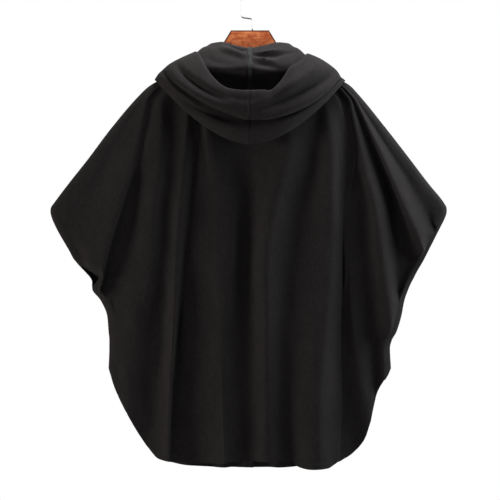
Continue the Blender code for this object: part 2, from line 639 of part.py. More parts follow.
def make_hook(steel):
    curve = bpy.data.curves.new("hanger_hook", "CURVE")
    curve.dimensions = "3D"
    curve.bevel_depth = WIRE / 2 * MM
    curve.bevel_resolution = 2
    curve.use_fill_caps = True
    path = hook_path()
    spline = curve.splines.new("POLY")
    spline.points.add(len(path) - 1)
    for point, (x, z) in zip(spline.points, path):
        point.co = (x * MM, 0.0, z * MM, 1.0)
    curve.materials.append(steel)
    hook = bpy.data.objects.new("hanger_hook", curve)
    bpy.context.scene.collection.objects.link(hook)
    return hook


# --- materials and assembly --------------------------------------------------------------
def finish(name, colour, roughness, metallic=0.0):
    material = bpy.data.materials.new(name)
    material.use_nodes = True
    shader = material.node_tree.nodes["Principled BSDF"]
    shader.inputs["Base Color"].default_value = (*colour, 1.0)
    shader.inputs["Roughness"].default_value = roughness
    shader.inputs["Metallic"].default_value = metallic
    return material


def main():
    for obj in list(bpy.data.objects):
        bpy.data.objects.remove(obj, do_unlink=True)
    wool = finish("black wool", (0.012, 0.011, 0.011), 0.92)
    binding = finish("black binding", (0.03, 0.03, 0.031), 0.8)
    wood = finish("varnished wood", (0.45, 0.14, 0.035), 0.35)
    steel = finish("bright steel", (0.7, 0.7, 0.72), 0.25, 1.0)
    make_body_panel("back_panel", "back", wool)
    make_body_panel("front_panel_left", "front_left", wool)
    make_body_panel("front_panel_right", "front_right", wool)
    make_hood_half("hood_left", -1.0, wool)
    make_hood_half("hood_right", 1.0, wool)
    make_seam_tape(binding)
    make_hanger(wood)
    make_hook(steel)


main()
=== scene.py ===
"""Builds the looks of a hooded wool cloak that hangs on a wooden hanger.

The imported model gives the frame: the origin is where a rail bears inside the hook, +Z is up,
+Y is the way the cloak's front faces and +X is the wearer's right. The cloth's pieces are made
again here on their solids' forms, on finer meshes, with soft folds, creases, hems and
stitching. A drop is a distance down from the rail, a reach is a distance from the middle plane
of the hanger, and a rise is how far a fold stands out of the plain form. The tables and the
cloth's functions are in millimetres, and the meshes and everything on the stage in metres.
"""

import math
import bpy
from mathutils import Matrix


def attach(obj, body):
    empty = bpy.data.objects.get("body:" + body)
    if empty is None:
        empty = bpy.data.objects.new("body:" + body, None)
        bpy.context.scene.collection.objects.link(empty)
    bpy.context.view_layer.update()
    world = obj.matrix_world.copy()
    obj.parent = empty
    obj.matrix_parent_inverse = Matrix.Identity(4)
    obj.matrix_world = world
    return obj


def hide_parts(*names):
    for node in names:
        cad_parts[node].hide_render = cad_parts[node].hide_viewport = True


bl_info = {
    "name": "Wool cloak on a hanger",
    "version": (1, 0, 0),
    "blender": (4, 5, 0),
    "location": "View3D > Sidebar > Cloak",
    "description": "Builds a hooded wool cloak with batwing sides, its hanger and a plain studio",
    "category": "Add Mesh",
}

from collections import namedtuple

import bpy
import numpy as np
from mathutils import Vector
from mathutils.bvhtree import BVHTree

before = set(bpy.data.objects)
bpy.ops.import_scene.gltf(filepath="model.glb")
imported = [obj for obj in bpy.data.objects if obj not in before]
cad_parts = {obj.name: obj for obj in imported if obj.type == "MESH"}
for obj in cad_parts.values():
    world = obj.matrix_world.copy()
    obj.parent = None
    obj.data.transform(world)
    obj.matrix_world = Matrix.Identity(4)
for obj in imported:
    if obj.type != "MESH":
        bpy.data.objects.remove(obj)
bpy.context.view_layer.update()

MM = 0.001
TINY = 1e-9


# --- interpolation -----------------------------------------------------------------------
def smooth(xs, ys, x):
    """A monotone cubic through the points (xs, ys), held level beyond its ends."""
    xs, ys = np.asarray(xs, float), np.asarray(ys, float)
    x = np.clip(x, xs[0], xs[-1])
    step = np.diff(xs)
    slope = np.diff(ys) / step
    tangent = np.zeros(len(xs))
    tangent[0], tangent[-1] = slope[0], slope[-1]
    before, after = slope[:-1], slope[1:]
    turning = before * after <= 0
    mean = 2 * before * after / np.where(turning, 1.0, before + after)
    tangent[1:-1] = np.where(turning, 0.0, mean)
    at = np.clip(np.searchsorted(xs, x, side="right") - 1, 0, len(step) - 1)
    t = (x - xs[at]) / step[at]
    curve = tangent[at] * t * (1 - t) ** 2 - tangent[at + 1] * t * t * (1 - t)
    return ys[at] + (ys[at + 1] - ys[at]) * t * t * (3 - 2 * t) + step[at] * curve


def ease(t):
    t = np.clip(t, 0.0, 1.0)
    return t * t * (3 - 2 * t)


def through(points, at):
    """A Catmull-Rom curve through rows of points, read at fractional row numbers."""
    before, after = 2 * points[:1] - points[1:2], 2 * points[-1:] - points[-2:-1]
    padded = np.concatenate([before, points, after])
    row = np.clip(at.astype(int), 0, len(points) - 2)
    t = (at - row)[:, None]
    a, b, c, d = (padded[row + k] for k in range(4))
    bend = (2 * a - 5 * b + 4 * c - d) * t**2 + (3 * b - 3 * c + d - a) * t**3
    return b + ((c - a) * t + bend) / 2


class Table:
    """Rows of values, whose columns have names."""

    def __init__(self, columns, *rows):
        self.columns, self.rows = columns.split(), rows

    def column(self, name):
        at = self.columns.index(name)
        return np.array([row[at] for row in self.rows], float)

    def read(self, name, key):
        """A column's value where the first column has the value key."""
        return smooth(self.column(self.columns[0]), self.column(name), key)


# --- the body's form ---------------------------------------------------------------------
SEAM_GAP = 0.3  # between the pieces that a seam joins
NECK_SEAM_GAP = 0.9
NECK_DROP = 141.0  # the neck points, where the shoulder seams start
BACK_NECK_DIP = 17.0
FRONT_NECK_DIP = 74.0
BACK_NECK_REACH = 20.0
FRONT_NECK_REACH = 30.0
NECK_ROUND = 0.8
BACK_NECK_BEND = 2.2
FRONT_NECK_BEND = 1.6
DIP_FADE = 200.0
NECK_FADE = 70.0
THROAT_HALF = 3.0  # half the gap between the fronts, at the throat
FRONT_LAP = 7.0  # how far each front passes the middle, at the hem
FRONT_END = 1008.0  # where the front edges end
LAP_RISE = 3.4  # how far a lapping front edge stands off the plain form
LAP_RISE_BY = 0.3  # the share of the lap by which it stands so
LEVEL_END = 714.0  # rows are level down to here, and then turn to the hem's curve
TIP_DROP = 458.0  # the wing tips, where the shoulder seams end
UNDERARM_DROP = 630.0  # where the side seams start
LOWEST = 1012.0
SIDE_REACH = 12.0
BODY_SQUARE = 2.4
SHOULDER_TURN = 14.0  # the cloth turns from the seam to the plain form in this width
SIDE_TURN = 22.0
SLEEVE_DROP = 600.0
TURN_FADE = 60.0
PANEL_ROWS = 136  # level rows between the neckline and LEVEL_END
HEM_ROWS = 62  # rows from there to the hem
HEM_FOUND = 0.001  # how closely a line's end at the hem is found
CELLS = 5  # columns of a panel's mesh for each one of the solid's

# The x of the panels' side edges.
OUTLINE = Table(
    "drop left_back left_front right",
    (141, -84, -84, 84), (168, -140, -140, 140), (200.5, -208, -208, 208), (215, -225, -225, 222.5),
    (290, -290, -290, 284), (357, -340.5, -340.5, 336), (407, -380, -380, 374),
    (449, -411.5, -411.5, 407.5), (458, -417.5, -417.5, 412), (466, -418, -418, 412),
    (475, -416, -416, 409.5), (500, -405, -405, 397), (550, -376.5, -376.5, 371.5),
    (567, -367.5, -368.5, 363), (592, -331, -346, 348.5), (603, -315, -336, 343),
    (613, -321, -331, 338), (626, -331, -331, 332.5), (651, -313, -313, 323.5),
    (684, -299, -299, 317), (718, -296, -296, 306.5), (735, -294.5, -294.5, 297),
    (752, -294.5, -294.5, 293), (794, -296, -296, 295),
)

# How far those edges stand off the middle plane, and how much of EDGE_STEPS lies beside them.
EDGE = Table(
    "drop reach left_pinch right_pinch",
    (141, 0, 0.5, 0.5), (231, 0, 0.5, 0.5), (336, 0, 1, 1), (452, 0, 1, 1), (472, 2.5, 1, 1),
    (500, 8, 1, 1), (560, 10, 0.7, 0.8), (588, 9.5, 0.3, 0.6), (603, 8, 0.2, 0.6),
    (613, 3, 0.25, 0.6), (628, 0, 0.5, 0.6), (714, 0, 0.5, 0.5), (794, 0, 0.5, 0.5),
)
EDGE_STEPS = (3.5, 9.0, 20.0)
LEAST_CELL = 1.5  # between two fold lines, for each of the solid's columns there
HELD_FADE = 12.0  # a line held this far from its place has lost its fold

# How far the middle of a panel stands off the middle plane, and the least that any of it may.
CENTRE_REACH = Table(
    "drop reach",
    (141, 20), (231, 24), (336, 30), (462, 35), (588, 39), (714, 43), (861, 46), (1012, 49),
)

LEAST_REACH = Table(
    "drop reach",
    (141, 8.8), (226, 8.8), (262, 4.5), (1012, 4.5),
)

HEM = Table(
    "x back_drop front_drop",
    (-296, 794, 794), (-283, 834, 837), (-268, 866, 871), (-231, 932, 938), (-208, 964, 972),
    (-190, 981, 988), (-172, 985, 996), (-120, 990, 1003), (-84, 990, 1007), (-6, 985, 1008),
    (86, 985, 1007), (100, 996, 1006), (125, 1000.5, 1004), (160, 999.5, 1000), (180, 990, 993),
    (208, 976, 981), (235, 949, 953), (250, 915, 919), (257, 880, 884), (270, 836, 839),
    (288, 809, 811), (295, 794, 794),
)

# Folds. Each row is a line down the cloak, a ridge or the foot of one: how many of the solid's
# columns lie up to it from the line before, how crisp it is, from 0 for round to 2 for creased,
# how far it leans back under the ridge before it, its x, and its rise, at seven drops.
FOLD_DROPS = (231.0, 336.0, 462.0, 588.0, 714.0, 861.0, 1003.0)

BACK_FOLDS = Table(
    "name cells crisp lean x rise",
    ("left wing", 2, 0.7, 0, (-227, -284, -334, -334, -332, -332, -331),
     (0, -2.5, -1, 13, 11.5, 5, -0.5)),
    ("left wing edge", 2, 1, 0, (-217, -237, -270, -304, -324, -324, -324),
     (1.5, 6, 15, 18, 10, 3.5, -1)),
    ("left wing foot", 1, 0, 5, (-210, -221, -264, -302, -325, -321, -318),
     (-2.5, -3, -7, -5.5, -1, 0.5, 0)),
    ("left wing trough", 1, 1, 0, (-202, -231, -248, -260, -303, -310, -314),
     (-4, -7, -11, -3.5, -1, 0.5, 0.5)),
    ("left ray", 2, 0.4, 0, (-186, -187, -202, -210, -246, -255, -281), (2.5, 9, 9, 9, 8, 5, 1)),
    ("left groove", 3, 0.1, 0, (-156, -163, -176, -178, -182, -196, -218),
     (-5, -3, -5, -4, -10, -10, -7)),
    ("left pleat", 2, 1.8, 0, (-127, -132, -144, -152, -157, -164, -166),
     (4, 9, 10.5, 12.5, 20, 15, 12)),
    ("left pleat foot", 1, 0.1, 9, (-118, -106, -118, -130, -142, -156, -163),
     (-5, -9, -11, -12, -17, -17, -8)),
    ("left pleat trough", 1, 0.3, 0, (-106, -110, -122, -135, -138, -120, -114),
     (-6.5, -7, -13, -17, -11, -13, -18)),
    ("mid left", 3, 2, 0, (-96, -88, -65, -64, -65, -56, -52), (2.5, 2, 5, 9, 5, 7, 10)),
    ("mid left foot", 1, 2, 3, (-86, -72, -33, -35, -51, -55, -51), (0, 2, 4, 5, 7, 7, 7)),
    ("mid left trough", 1, 0.2, 0, (-40, -22, -10, -11, -6, -4, -13),
     (-2.5, -14, -16, -18, -15.5, -12, -18)),
    ("middle", 2, 1.1, 0, (84, 78, 46, 32, 35, 35, 36), (4, 16, 23.5, 23.5, 20, 15.5, 13)),
    ("mid right trough", 2, 0.3, 0, (140, 134, 101, 77, 65, 65, 82),
     (0, -4, -6, -4.5, -4, -9, -12)),
    ("mid right", 2, 0.1, 0, (160, 169, 169, 165, 154, 140, 138),
     (2.5, 16, 20.5, 16, 19, 23.5, 24)),
    ("right pleat", 2, 0.1, 0, (186, 203, 201, 203, 194, 191, 183),
     (2.5, -8, -13.5, -25, -26, -21, -6)),
    ("right pleat foot", 1, 0, 9, (193, 221, 205, 201, 199, 200, 194),
     (-5, -8.5, -10, -16.5, -25, -23.5, -13.5)),
    ("right groove", 1, 1.3, 0, (198, 210, 206, 206, 210, 214, 221),
     (-6.5, -11, -9.5, -12, -14.5, -14.5, -20.5)),
    ("right side", 1, 1.3, 0, (202, 215, 209, 207, 217, 241, 264),
     (-5, -6.5, -9, -11, -10, -3, 0.5)),
    ("right side trough", 1, 2, 0, (206, 214, 243, 252, 255, 264, 266),
     (-6.5, -4.5, -2, -6, -18, -20, -6)),
    ("right wing ray", 1, 0.3, 0, (210, 231, 262, 280, 297, 313, 323),
     (4, 13, 23.5, 24, 24, 19.5, 2)),
    ("right wing trough", 1, 0.3, 0, (215, 261, 307, 318, 325, 337, 347),
     (-2.5, -13.5, -25, -25.5, -20, -11, 0.5)),
    ("right wing edge", 1, 0.2, 0, (220, 267, 319, 378, 404, 406, 404),
     (4, 16, 24, 24, 19.5, 9, -1)),
    ("right wing", 2, 0.1, 0, (224, 290, 366, 429, 437, 428, 419),
     (0, -1.5, -4, -13, -13, -7.5, 0)),
)

LEFT_FRONT_FOLDS = Table(
    "name cells crisp lean x rise",
    ("left wing", 2, 0, 0, (-227, -292, -358, -360, -360, -360, -360), (0, 2.5, 4, 0, 0, 0, 0)),
    ("left wing edge", 2, 0.5, 0, (-220, -266, -314, -340, -350, -350, -350),
     (2.5, 10.5, 13, 5, 0, 0, 0)),
    ("left wing trough", 2, 0, 0, (-212, -241, -274, -300, -320, -320, -320),
     (-4, -10.5, -13, -9, 0, 0, 0)),
    ("left ray", 2, 0.2, 0, (-199, -214, -234, -254, -290, -305, -305), (4, 8, 10.5, 9, 4, 0, 0)),
    ("left groove", 2, 0, 0, (-181, -187, -199, -208, -214, -224, -238),
     (-5, -9, -11.5, -11.5, -10.5, -9, -4)),
    ("left pleat", 2, 0.5, 0, (-160, -160, -163, -168, -172, -172, -168),
     (5, 9, 11.5, 13, 13, 13, 11.5)),
    ("left pleat trough", 2, 0, 0, (-138, -134, -134, -138, -141, -138, -132),
     (-5, -10.5, -13, -14.5, -14.5, -14.5, -13)),
    ("mid left", 2, 0.2, 0, (-98, -92, -88, -90, -92, -90, -88), (4, 6.5, 8, 8, 8, 9, 10.5)),
    ("mid left trough", 2, 0, 0, (-62, -57, -53, -54, -56, -56, -55),
     (-2.5, -5, -6.5, -8, -9, -9, -9)),
    ("left front", 2, 0, 0, (-22, -22, -24, -27, -30, -34, -38), (1.5, 2.5, 4, 5, 6.5, 8, 8)),
)

RIGHT_FRONT_FOLDS = Table(
    "name cells crisp lean x rise",
    ("right front", 1, 0, 0, (22, 22, 24, 26, 30, 34, 38), (1.5, 2.5, 5, 6.5, 6.5, 6.5, 6.5)),
    ("mid right trough", 2, 0, 0, (58, 55, 55, 59, 62, 62, 62), (-2.5, -6.5, -8, -8, -8, -9, -9)),
    ("mid right", 2, 0.3, 0, (94, 88, 86, 91, 97, 101, 104), (4, 6.5, 9, 9, 8, 8, 9)),
    ("right pleat trough", 2, 0, 0, (130, 124, 122, 127, 133, 138, 142),
     (-5, -9, -11.5, -13, -13, -13, -11.5)),
    ("right pleat", 2, 0.5, 0, (151, 148, 149, 155, 162, 167, 168),
     (5, 10.5, 11.5, 13, 13, 11.5, 10.5)),
    ("right groove", 2, 0, 0, (176, 180, 189, 199, 206, 214, 224),
     (-5, -9, -11.5, -11.5, -10.5, -9, -6.5)),
    ("right ray", 2, 0.2, 0, (196, 207, 226, 248, 290, 310, 310), (4, 6.5, 8, 8, 4, 0, 0)),
    ("right wing trough", 2, 0, 0, (208, 236, 268, 298, 330, 330, 330),
     (-4, -9, -13, -10.5, 0, 0, 0)),
    ("right wing edge", 2, 0.5, 0, (217, 262, 309, 340, 360, 360, 360),
     (2.5, 9, 11.5, 6.5, 0, 0, 0)),
    ("right wing", 2, 0, 0, (223, 296, 368, 380, 380, 380, 380), (0, 1.5, 2.5, 0, 0, 0, 0)),
)

# Creases of a panel, seen from behind: the start, a point that bends the line, and the end, as
# x and drop, then the width and the height, below 0 for a trough.
CREASE_REACH = 3  # widths of a crease in which it is still felt
CREASE_ENDS = 0.7  # below 1, a crease keeps its height nearer to its ends

BACK_CREASES = Table(
    "name start bend end width height",
    ("left wing pull", (-232, 262), (-296, 350), (-352, 430), 16, 1.6),
    ("left wing sag", (-250, 300), (-310, 400), (-340, 520), 20, -1.4),
    ("left cuff pull", (-312, 596), (-330, 545), (-372, 500), 13, 1.5),
    ("left underarm fan high", (-300, 612), (-262, 600), (-222, 640), 10, 1.7),
    ("left underarm fan low", (-305, 640), (-268, 670), (-240, 740), 11, -1.6),
    ("left flank", (-276, 700), (-272, 790), (-250, 880), 13, 1.5),
    ("left flank trough", (-256, 690), (-250, 780), (-236, 850), 11, -1.3),
    ("under the hood left", (-66, 306), (-58, 356), (-62, 440), 13, 1.5),
    ("under the hood middle", (4, 324), (12, 372), (4, 450), 15, -1.2),
    ("under the hood right", (90, 300), (86, 350), (60, 430), 13, 1.3),
    ("middle soft", (8, 520), (2, 650), (-2, 820), 16, 1.3),
    ("middle low", (64, 640), (52, 780), (48, 960), 14, 1.4),
    ("right of middle", (112, 420), (104, 540), (112, 690), 13, 1.1),
    ("right of middle low", (150, 700), (142, 820), (150, 960), 13, 1.4),
    ("right flank", (232, 610), (240, 700), (234, 800), 12, 1.5),
    ("right underarm fan", (318, 640), (286, 690), (262, 780), 10, 1.6),
    ("right underarm trough", (322, 668), (298, 700), (280, 760), 8, -1.4),
    ("right wing pull", (262, 300), (320, 400), (372, 470), 15, 1.2),
    ("right cuff pull", (352, 590), (368, 540), (398, 486), 12, 1.3),
)

FRONT_CREASES = Table(
    "name start bend end width height",
    ("left wing pull", (-232, 268), (-300, 360), (-360, 440), 17, 1.5),
    ("left underarm fan", (-306, 646), (-262, 690), (-232, 790), 11, 1.6),
    ("left chest", (-112, 300), (-104, 400), (-112, 520), 14, 1.3),
    ("left front edge", (-12, 420), (-22, 560), (-12, 720), 13, 1.3),
    ("left low", (-104, 700), (-98, 820), (-108, 960), 13, -1.3),
    ("right chest", (74, 290), (70, 380), (78, 500), 14, 1.3),
    ("right front edge", (14, 520), (24, 640), (12, 800), 13, 1.2),
    ("right low", (118, 720), (112, 840), (122, 960), 13, 1.4),
    ("right underarm fan", (312, 650), (272, 700), (244, 800), 11, 1.6),
    ("right wing pull", (236, 270), (306, 370), (362, 450), 17, 1.4),
)

DRAPE_WAVES = 26  # gentle waves that keep the cloth from lying too evenly
DRAPE_HEIGHT = 0.45
DRAPE_SHARES = (0.4, 1.0)  # the least and the greatest share of it in one wave
DRAPE_ACROSS = (28.0, 95.0)  # the least and the greatest length of such a wave
DRAPE_DOWN = (110.0, 420.0)

# What sets a panel apart: its columns in OUTLINE and HEM, the side of the middle plane it is on,
# its open front edge, 0 for none, its neckline, folds and creases, its waves' seed and an x that
# lies inside it.
Panel = namedtuple("Panel", "name node left hem side front neck dip bend folds creases seed inside")
PANELS = (
    Panel("cloak_back", "back_panel", "left_back", "back_drop", -1, 0,
          BACK_NECK_REACH, BACK_NECK_DIP, BACK_NECK_BEND, BACK_FOLDS, BACK_CREASES, 7, 0.0),
    Panel("cloak_front_left", "front_panel_left", "left_front", "front_drop", 1, -1,
          FRONT_NECK_REACH, FRONT_NECK_DIP, FRONT_NECK_BEND, LEFT_FRONT_FOLDS, FRONT_CREASES,
          8, -150.0),
    Panel("cloak_front_right", "front_panel_right", "left_front", "front_drop", 1, 1,
          FRONT_NECK_REACH, FRONT_NECK_DIP, FRONT_NECK_BEND, RIGHT_FRONT_FOLDS, FRONT_CREASES,
          9, 150.0),
)

# --- the hood's form ---------------------------------------------------------------------
# The lines that run round the hood, from its neckline down into the bag and back out over the
# rolls to the face edge: where they are at the two sides, behind and at the throat. A greater
# bend is a flatter curve behind.
HOOD_LINES = Table(
    "name left_x left_drop left_bend right_x right_drop right_bend back_reach back_drop "
    "throat_reach throat_drop",
    ("neckline", 84, 141, 2.2, 84, 141, 2.2, 20, 158, 30, 215),
    ("stand", 80.5, 127, 2, 80.5, 127, 2, 21.5, 140, 30, 211),
    ("roll front", 78.5, 116.5, 1.2, 78.5, 116.5, 1.2, 22, 125, 30.5, 207),
    ("roll top", 82, 114, 1.1, 82, 114, 1.1, 26, 121.5, 32.5, 204.5),
    ("roll back", 91, 119, 1.4, 91, 120, 1.4, 35, 127, 34.5, 206),
    ("inner wall high", 105, 126.5, 1.8, 106, 128, 1.8, 51, 147, 35.5, 209),
    ("inner wall mid", 138, 160, 2, 138, 160, 2, 69, 173, 36, 212),
    ("inner wall low", 166, 176, 2, 168, 177, 2, 54, 212, 37, 215),
    ("bag inside", 191, 185.5, 1.8, 191, 186, 1.85, 57, 314, 38.5, 217.5),
    ("bag bottom", 199, 189, 1.74, 199, 190.5, 1.84, 70, 325, 41, 218),
    ("lower roll", 195, 182, 1.74, 197.5, 190, 1.88, 84, 316.5, 43, 215.5),
    ("lower roll top", 190.5, 176, 1.72, 195, 187, 1.9, 91, 298, 43.5, 212),
    ("tuck mouth", 187.5, 173, 1.65, 193.5, 187, 2.15, 82, 280, 43.5, 209),
    ("tuck", 184.5, 170.5, 1.65, 192, 185.5, 2.25, 82, 267, 43.5, 207),
    ("upper roll foot", 180.5, 167, 1.65, 190, 183.5, 2.25, 101, 279, 43.5, 205),
    ("upper roll", 168, 156.5, 1.85, 178, 167, 2.3, 110.5, 259, 43.5, 202),
    ("upper roll top", 144, 143.5, 2.3, 149, 146.5, 2.4, 110, 237, 43, 199),
    ("face edge", 111, 129, 2.9, 118, 133, 2.5, 105, 218, 42.5, 196),
)
HOOD_ROUND_CELLS = 112
HOOD_LINE_CELLS = 150
HOOD_AT = np.linspace(0.0, len(HOOD_LINES.rows) - 1.0, HOOD_LINE_CELLS + 1)
BAG_LINE = 9  # the table's row at the bottom of the bag: the inside is above it
RIM_CURL = 4.5  # radius of the face edge's turned hem
BEHIND_FADE = 0.2  # angle before the sides in which sways and creases fade
NECKLINE_FADE = 2.0  # lines above the neckline in which creases come in

# Where the hood strays behind from its lines' even curves: at the face edge and round the neck.
HOOD_SWAYS = Table(
    "line lines_wide at width drop",
    (17, 1.3, -98, 14, -4), (17, 1.3, -52, 14, 1.5), (17, 1.3, 44, 13, 6), (17, 1.3, 83, 17, -15),
    (3, 1.6, 0, 27, 3.5), (3, 1.6, -57, 18, -4.5), (3, 1.6, 57, 18, -3.5),
)

# Creases of the hood, seen from behind, on its inside or its outside.
HOOD_CREASES = Table(
    "name side start bend end width height",
    ("inner right trough high", "inside", (4, 137), (34, 140), (68, 128), 3.2, -5.6),
    ("inner right ridge high", "inside", (4, 143), (40, 148), (79, 134), 3.6, 3.6),
    ("inner right trough mid", "inside", (4, 149), (19, 154), (58, 156), 3.3, -5.8),
    ("inner right ridge mid", "inside", (4, 161), (33, 163), (62, 169), 4.5, 4),
    ("inner right trough low", "inside", (2, 170), (16, 176), (50, 175), 3.2, -4),
    ("inner right long ridge", "inside", (33, 155), (56, 140), (104, 133), 3.4, 3),
    ("inner right low ridge", "inside", (8, 181), (27, 192), (54, 186), 4.5, 3),
    ("inner left ridge high", "inside", (-46, 121), (-18, 130), (-2, 135), 3.4, 4.5),
    ("inner left trough", "inside", (-66, 124), (-30, 136), (-2, 149), 6, -7.6),
    ("inner left ridge", "inside", (-95, 142), (-64, 166), (-25, 163), 8, 3),
    ("inner shelf lip", "inside", (-96, 171), (0, 181), (90, 167), 3.2, 1.8),
    ("inner shelf underside", "inside", (-92, 178), (0, 191), (86, 176), 4, -1.2),
    ("inner seam hollow", "inside", (-9, 130), (-10, 152), (-8, 192), 3.2, -5.4),
    ("upper roll left trough", "outside", (-158, 154), (-128, 208), (-40, 243), 8, -10.5),
    ("upper roll left ridge", "outside", (-174, 182), (-130, 215), (-57, 256), 7, 4.1),
    ("upper roll rim hollow", "outside", (-74, 215), (-26, 250), (25, 233), 6, -2),
    ("lower roll left hollow", "outside", (-150, 226), (-117, 261), (-15, 284), 8, -8),
    ("lower roll left lip", "outside", (-184, 216), (-146, 262), (-74, 297), 4.5, 3),
    ("lower roll left soft", "outside", (-110, 272), (-75, 292), (-20, 296), 6, 2.4),
    ("upper roll right trough", "outside", (176, 172), (140, 213), (0, 268), 8.5, -13),
    ("upper roll right ridge", "outside", (176, 196), (134, 240), (25, 278), 6, 6),
    ("upper roll right swell", "outside", (146, 156), (112, 196), (48, 228), 12, 6.5),
    ("lower roll right ridge", "outside", (180, 215), (130, 250), (53, 288), 7, 3.1),
    ("lower roll right trough", "outside", (70, 303), (47, 319), (16, 319), 5, -2.7),
    ("lower roll right soft", "outside", (98, 284), (68, 308), (25, 303), 6, 2),
    ("middle seam", "outside", (0, 208), (0, 262), (0, 330), 1.7, -1.5),
    ("middle seam, left edge", "outside", (-3.4, 208), (-3.4, 262), (-3.4, 328), 1.9, 0.7),
    ("middle seam, right edge", "outside", (3.4, 208), (3.4, 262), (3.4, 328), 1.9, 0.7),
)

TAPE = 0.8
TAPE_LIFT = 1.0  # of the binding off the cloth
TAPE_WIDTH = 9.0
TAPE_SPAN = (0.7, 10.4)  # the hood's lines between which the binding runs
TAPE_CELLS = 90
TAPE_HALF_CELLS = 3
SEAM_COLUMNS = 20  # columns of a half of the hood that lie near its middle seam

# --- sewing ------------------------------------------------------------------------------
HEM_WIDTH = 12.0  # from an edge to the line of stitches that holds its hem
HEM_RAISE = 0.5  # how far the doubled cloth of a hem stands out
HEM_EASE = 2.5
HEM_POINTS, CUFF_POINTS, FRONT_POINTS = 160, 60, 40
CORNER_SHARE = 0.97  # of HEM_WIDTH: stitches that come nearer to their edge are left out
RIM_ROUND = 0.06  # how far the rim of a wall bulges, as a share of its thickness
CLOTH_SHARP = 62.0  # degrees between faces from which a cloth's edge is shaded sharp
STITCH_LINE_STEP = 3.0
STITCH_START = 0.2  # metres off the middle plane, from where a line is laid on a panel
SEAM_STITCH_X = 5.5  # from the hood's middle seam to the stitches beside it
FACE_STITCH = 0.42  # of a hood line in from the face edge
FACE_STITCH_ENDS = 2  # columns at its two ends that it leaves free
STITCH_SIDES = 6
STITCH_RINGS = (  # a stitch's rings: places along it, girth and height
    (-0.5, 0.4, -0.7), (-0.36, 0.9, 0.1), (0.0, 1.0, 0.45), (0.36, 0.9, 0.1), (0.5, 0.4, -0.7),
)

# --- studio ------------------------------------------------------------------------------
STUDIO_LIGHTS = Table(
    "name place size colour",
    ("left_side", (-2.9, -0.80, -0.55), 1.0, (1.0, 0.98, 0.92)),
    ("left_front", (-1.23, -2.13, 0.62), 1.0, (1.0, 0.98, 0.94)),
    ("right_near", (1.0, -0.1, -0.3), 1.0, (0.92, 1.0, 0.97)),
    ("right_top", (0.6, -0.04, 0.52), 0.9, (0.90, 1.0, 0.97)),
    ("top", (0.1, -0.15, 0.55), 0.5, (0.97, 1.0, 0.99)),
    ("over_hood", (-0.04, -0.06, 0.16), 0.15, (0.97, 1.0, 0.99)),
    ("front", (1.3, 2.6, 0.5), 1.4, (1.0, 0.98, 0.95)),
)
SENSOR = 36.0  # of the camera, in millimetres
FLOOR_RADIUS = 3.0
FLOOR_SIDES = 96
# Heights between which the wire's painted shade comes in: above its crossing, below it, at its
# foot.
SHADE_BANDS = ((-0.0545, -0.0565), (-0.0625, -0.0605), (-0.0815, -0.0825))
# Sets where the board's edges get their painted shade.
BOARD_FLAT = (0.92, 0.999)  # how squarely the board's faces look out, from edge to flat face


# --- settings ----------------------------------------------------------------------------
def number(name, description, default, **limits):
    return bpy.props.FloatProperty(name=name, description=description, default=default, **limits)


def length(name, description, default, **limits):
    return number(name, description, default, unit="LENGTH", **limits)


def power(name, place, watts):
    return number(name, "Power of the " + place, watts, min=0.0, unit="POWER")


def colour(name, description, *default):
    return bpy.props.FloatVectorProperty(
        name=name, description=description, default=default, min=0.0, max=1.0, subtype="COLOR",
    )


class CloakSizes(bpy.types.PropertyGroup):
    """Sizes of the cloth and the sewing."""

    cloth: length("Cloth", "Thickness of the wool", 0.002, min=0.001, max=0.003, precision=4)
    fold_depth: number("Fold depth", "Share of the folds' rise that is built", 1.0,
                       min=0.0, max=1.5, subtype="FACTOR")
    crease_depth: number("Crease depth", "Share of the creases' height that is built", 1.0,
                         min=0.0, max=2.0, subtype="FACTOR")
    stitch: length("Stitch", "Length of a stitch", 0.0033, min=0.001, precision=4)
    stitch_gap: length("Stitch gap", "From one stitch to the next", 0.0012, min=0.0, precision=4)
    thread: length("Thread", "Thickness of the sewing thread", 0.0007, min=0.0002, precision=4)


class CloakColours(bpy.types.PropertyGroup):
    """Colours of the cloth, the thread, the binding and the hanger."""

    wool_deep: colour("Wool, deep", "The wool where its nap lies down", 0.0165, 0.0144, 0.0150)
    wool_raised: colour("Wool, raised", "The wool where its nap stands up", 0.035, 0.0308, 0.0318)
    thread: colour("Thread", "The sewing thread", 0.045, 0.043, 0.044)
    binding: colour("Binding", "The binding of the hood's seam", 0.036, 0.036, 0.037)
    wood_light: colour("Wood, light", "The wood between its grain lines", 0.67, 0.215, 0.084)
    wood_dark: colour("Wood, dark", "The wood's grain lines", 0.39, 0.080, 0.029)
    # Painted shade: the board's eased edges are coloured dark for the shade and dark reflections on
    # them.
    wood_edge_shade: colour("Wood, edge", "Painted shade on the board's edges", 0.03, 0.007, 0.003)
    wire: colour("Wire", "The plated wire of the hook", 0.78, 0.78, 0.80)
    # Painted shade: the wire is coloured dark at its crossing and its foot, where shade and dark
    # reflections fall.
    wire_shade: colour("Wire, painted shade", "Painted shade on the wire at its crossing and its foot", 0.10, 0.10, 0.105)


class CloakStage(bpy.types.PropertyGroup):
    """The camera, the light and the floor."""

    distance: length("Camera distance", "From the camera to the hanger's middle plane", 4.0,
                     min=1.0)
    view_width: length("View width", "What the camera takes in, at the hanger", 1.05, min=0.1)
    view_drop: length("View drop", "From the rail down to the middle of the view", 0.546)
    floor_drop: length("Floor drop", "From the rail down to the floor", 1.72)
    ambient: number("Ambient", "Strength of the light from all round", 0.034, min=0.0)
    left_side: power("Left side light", "soft light beside the left", 47.0)
    left_front: power("Left front light", "soft light before the left", 4.6)
    right_near: power("Right side light", "soft light beside the right", 12.0)
    right_top: power("Right top light", "soft light over the right", 8.0)
    top: power("Top light", "soft light overhead", 5.0)
    over_hood: power("Light over the hood", "small soft light over the hood", 1.5)
    front: power("Front light", "soft light before the cloak's front", 45.0)


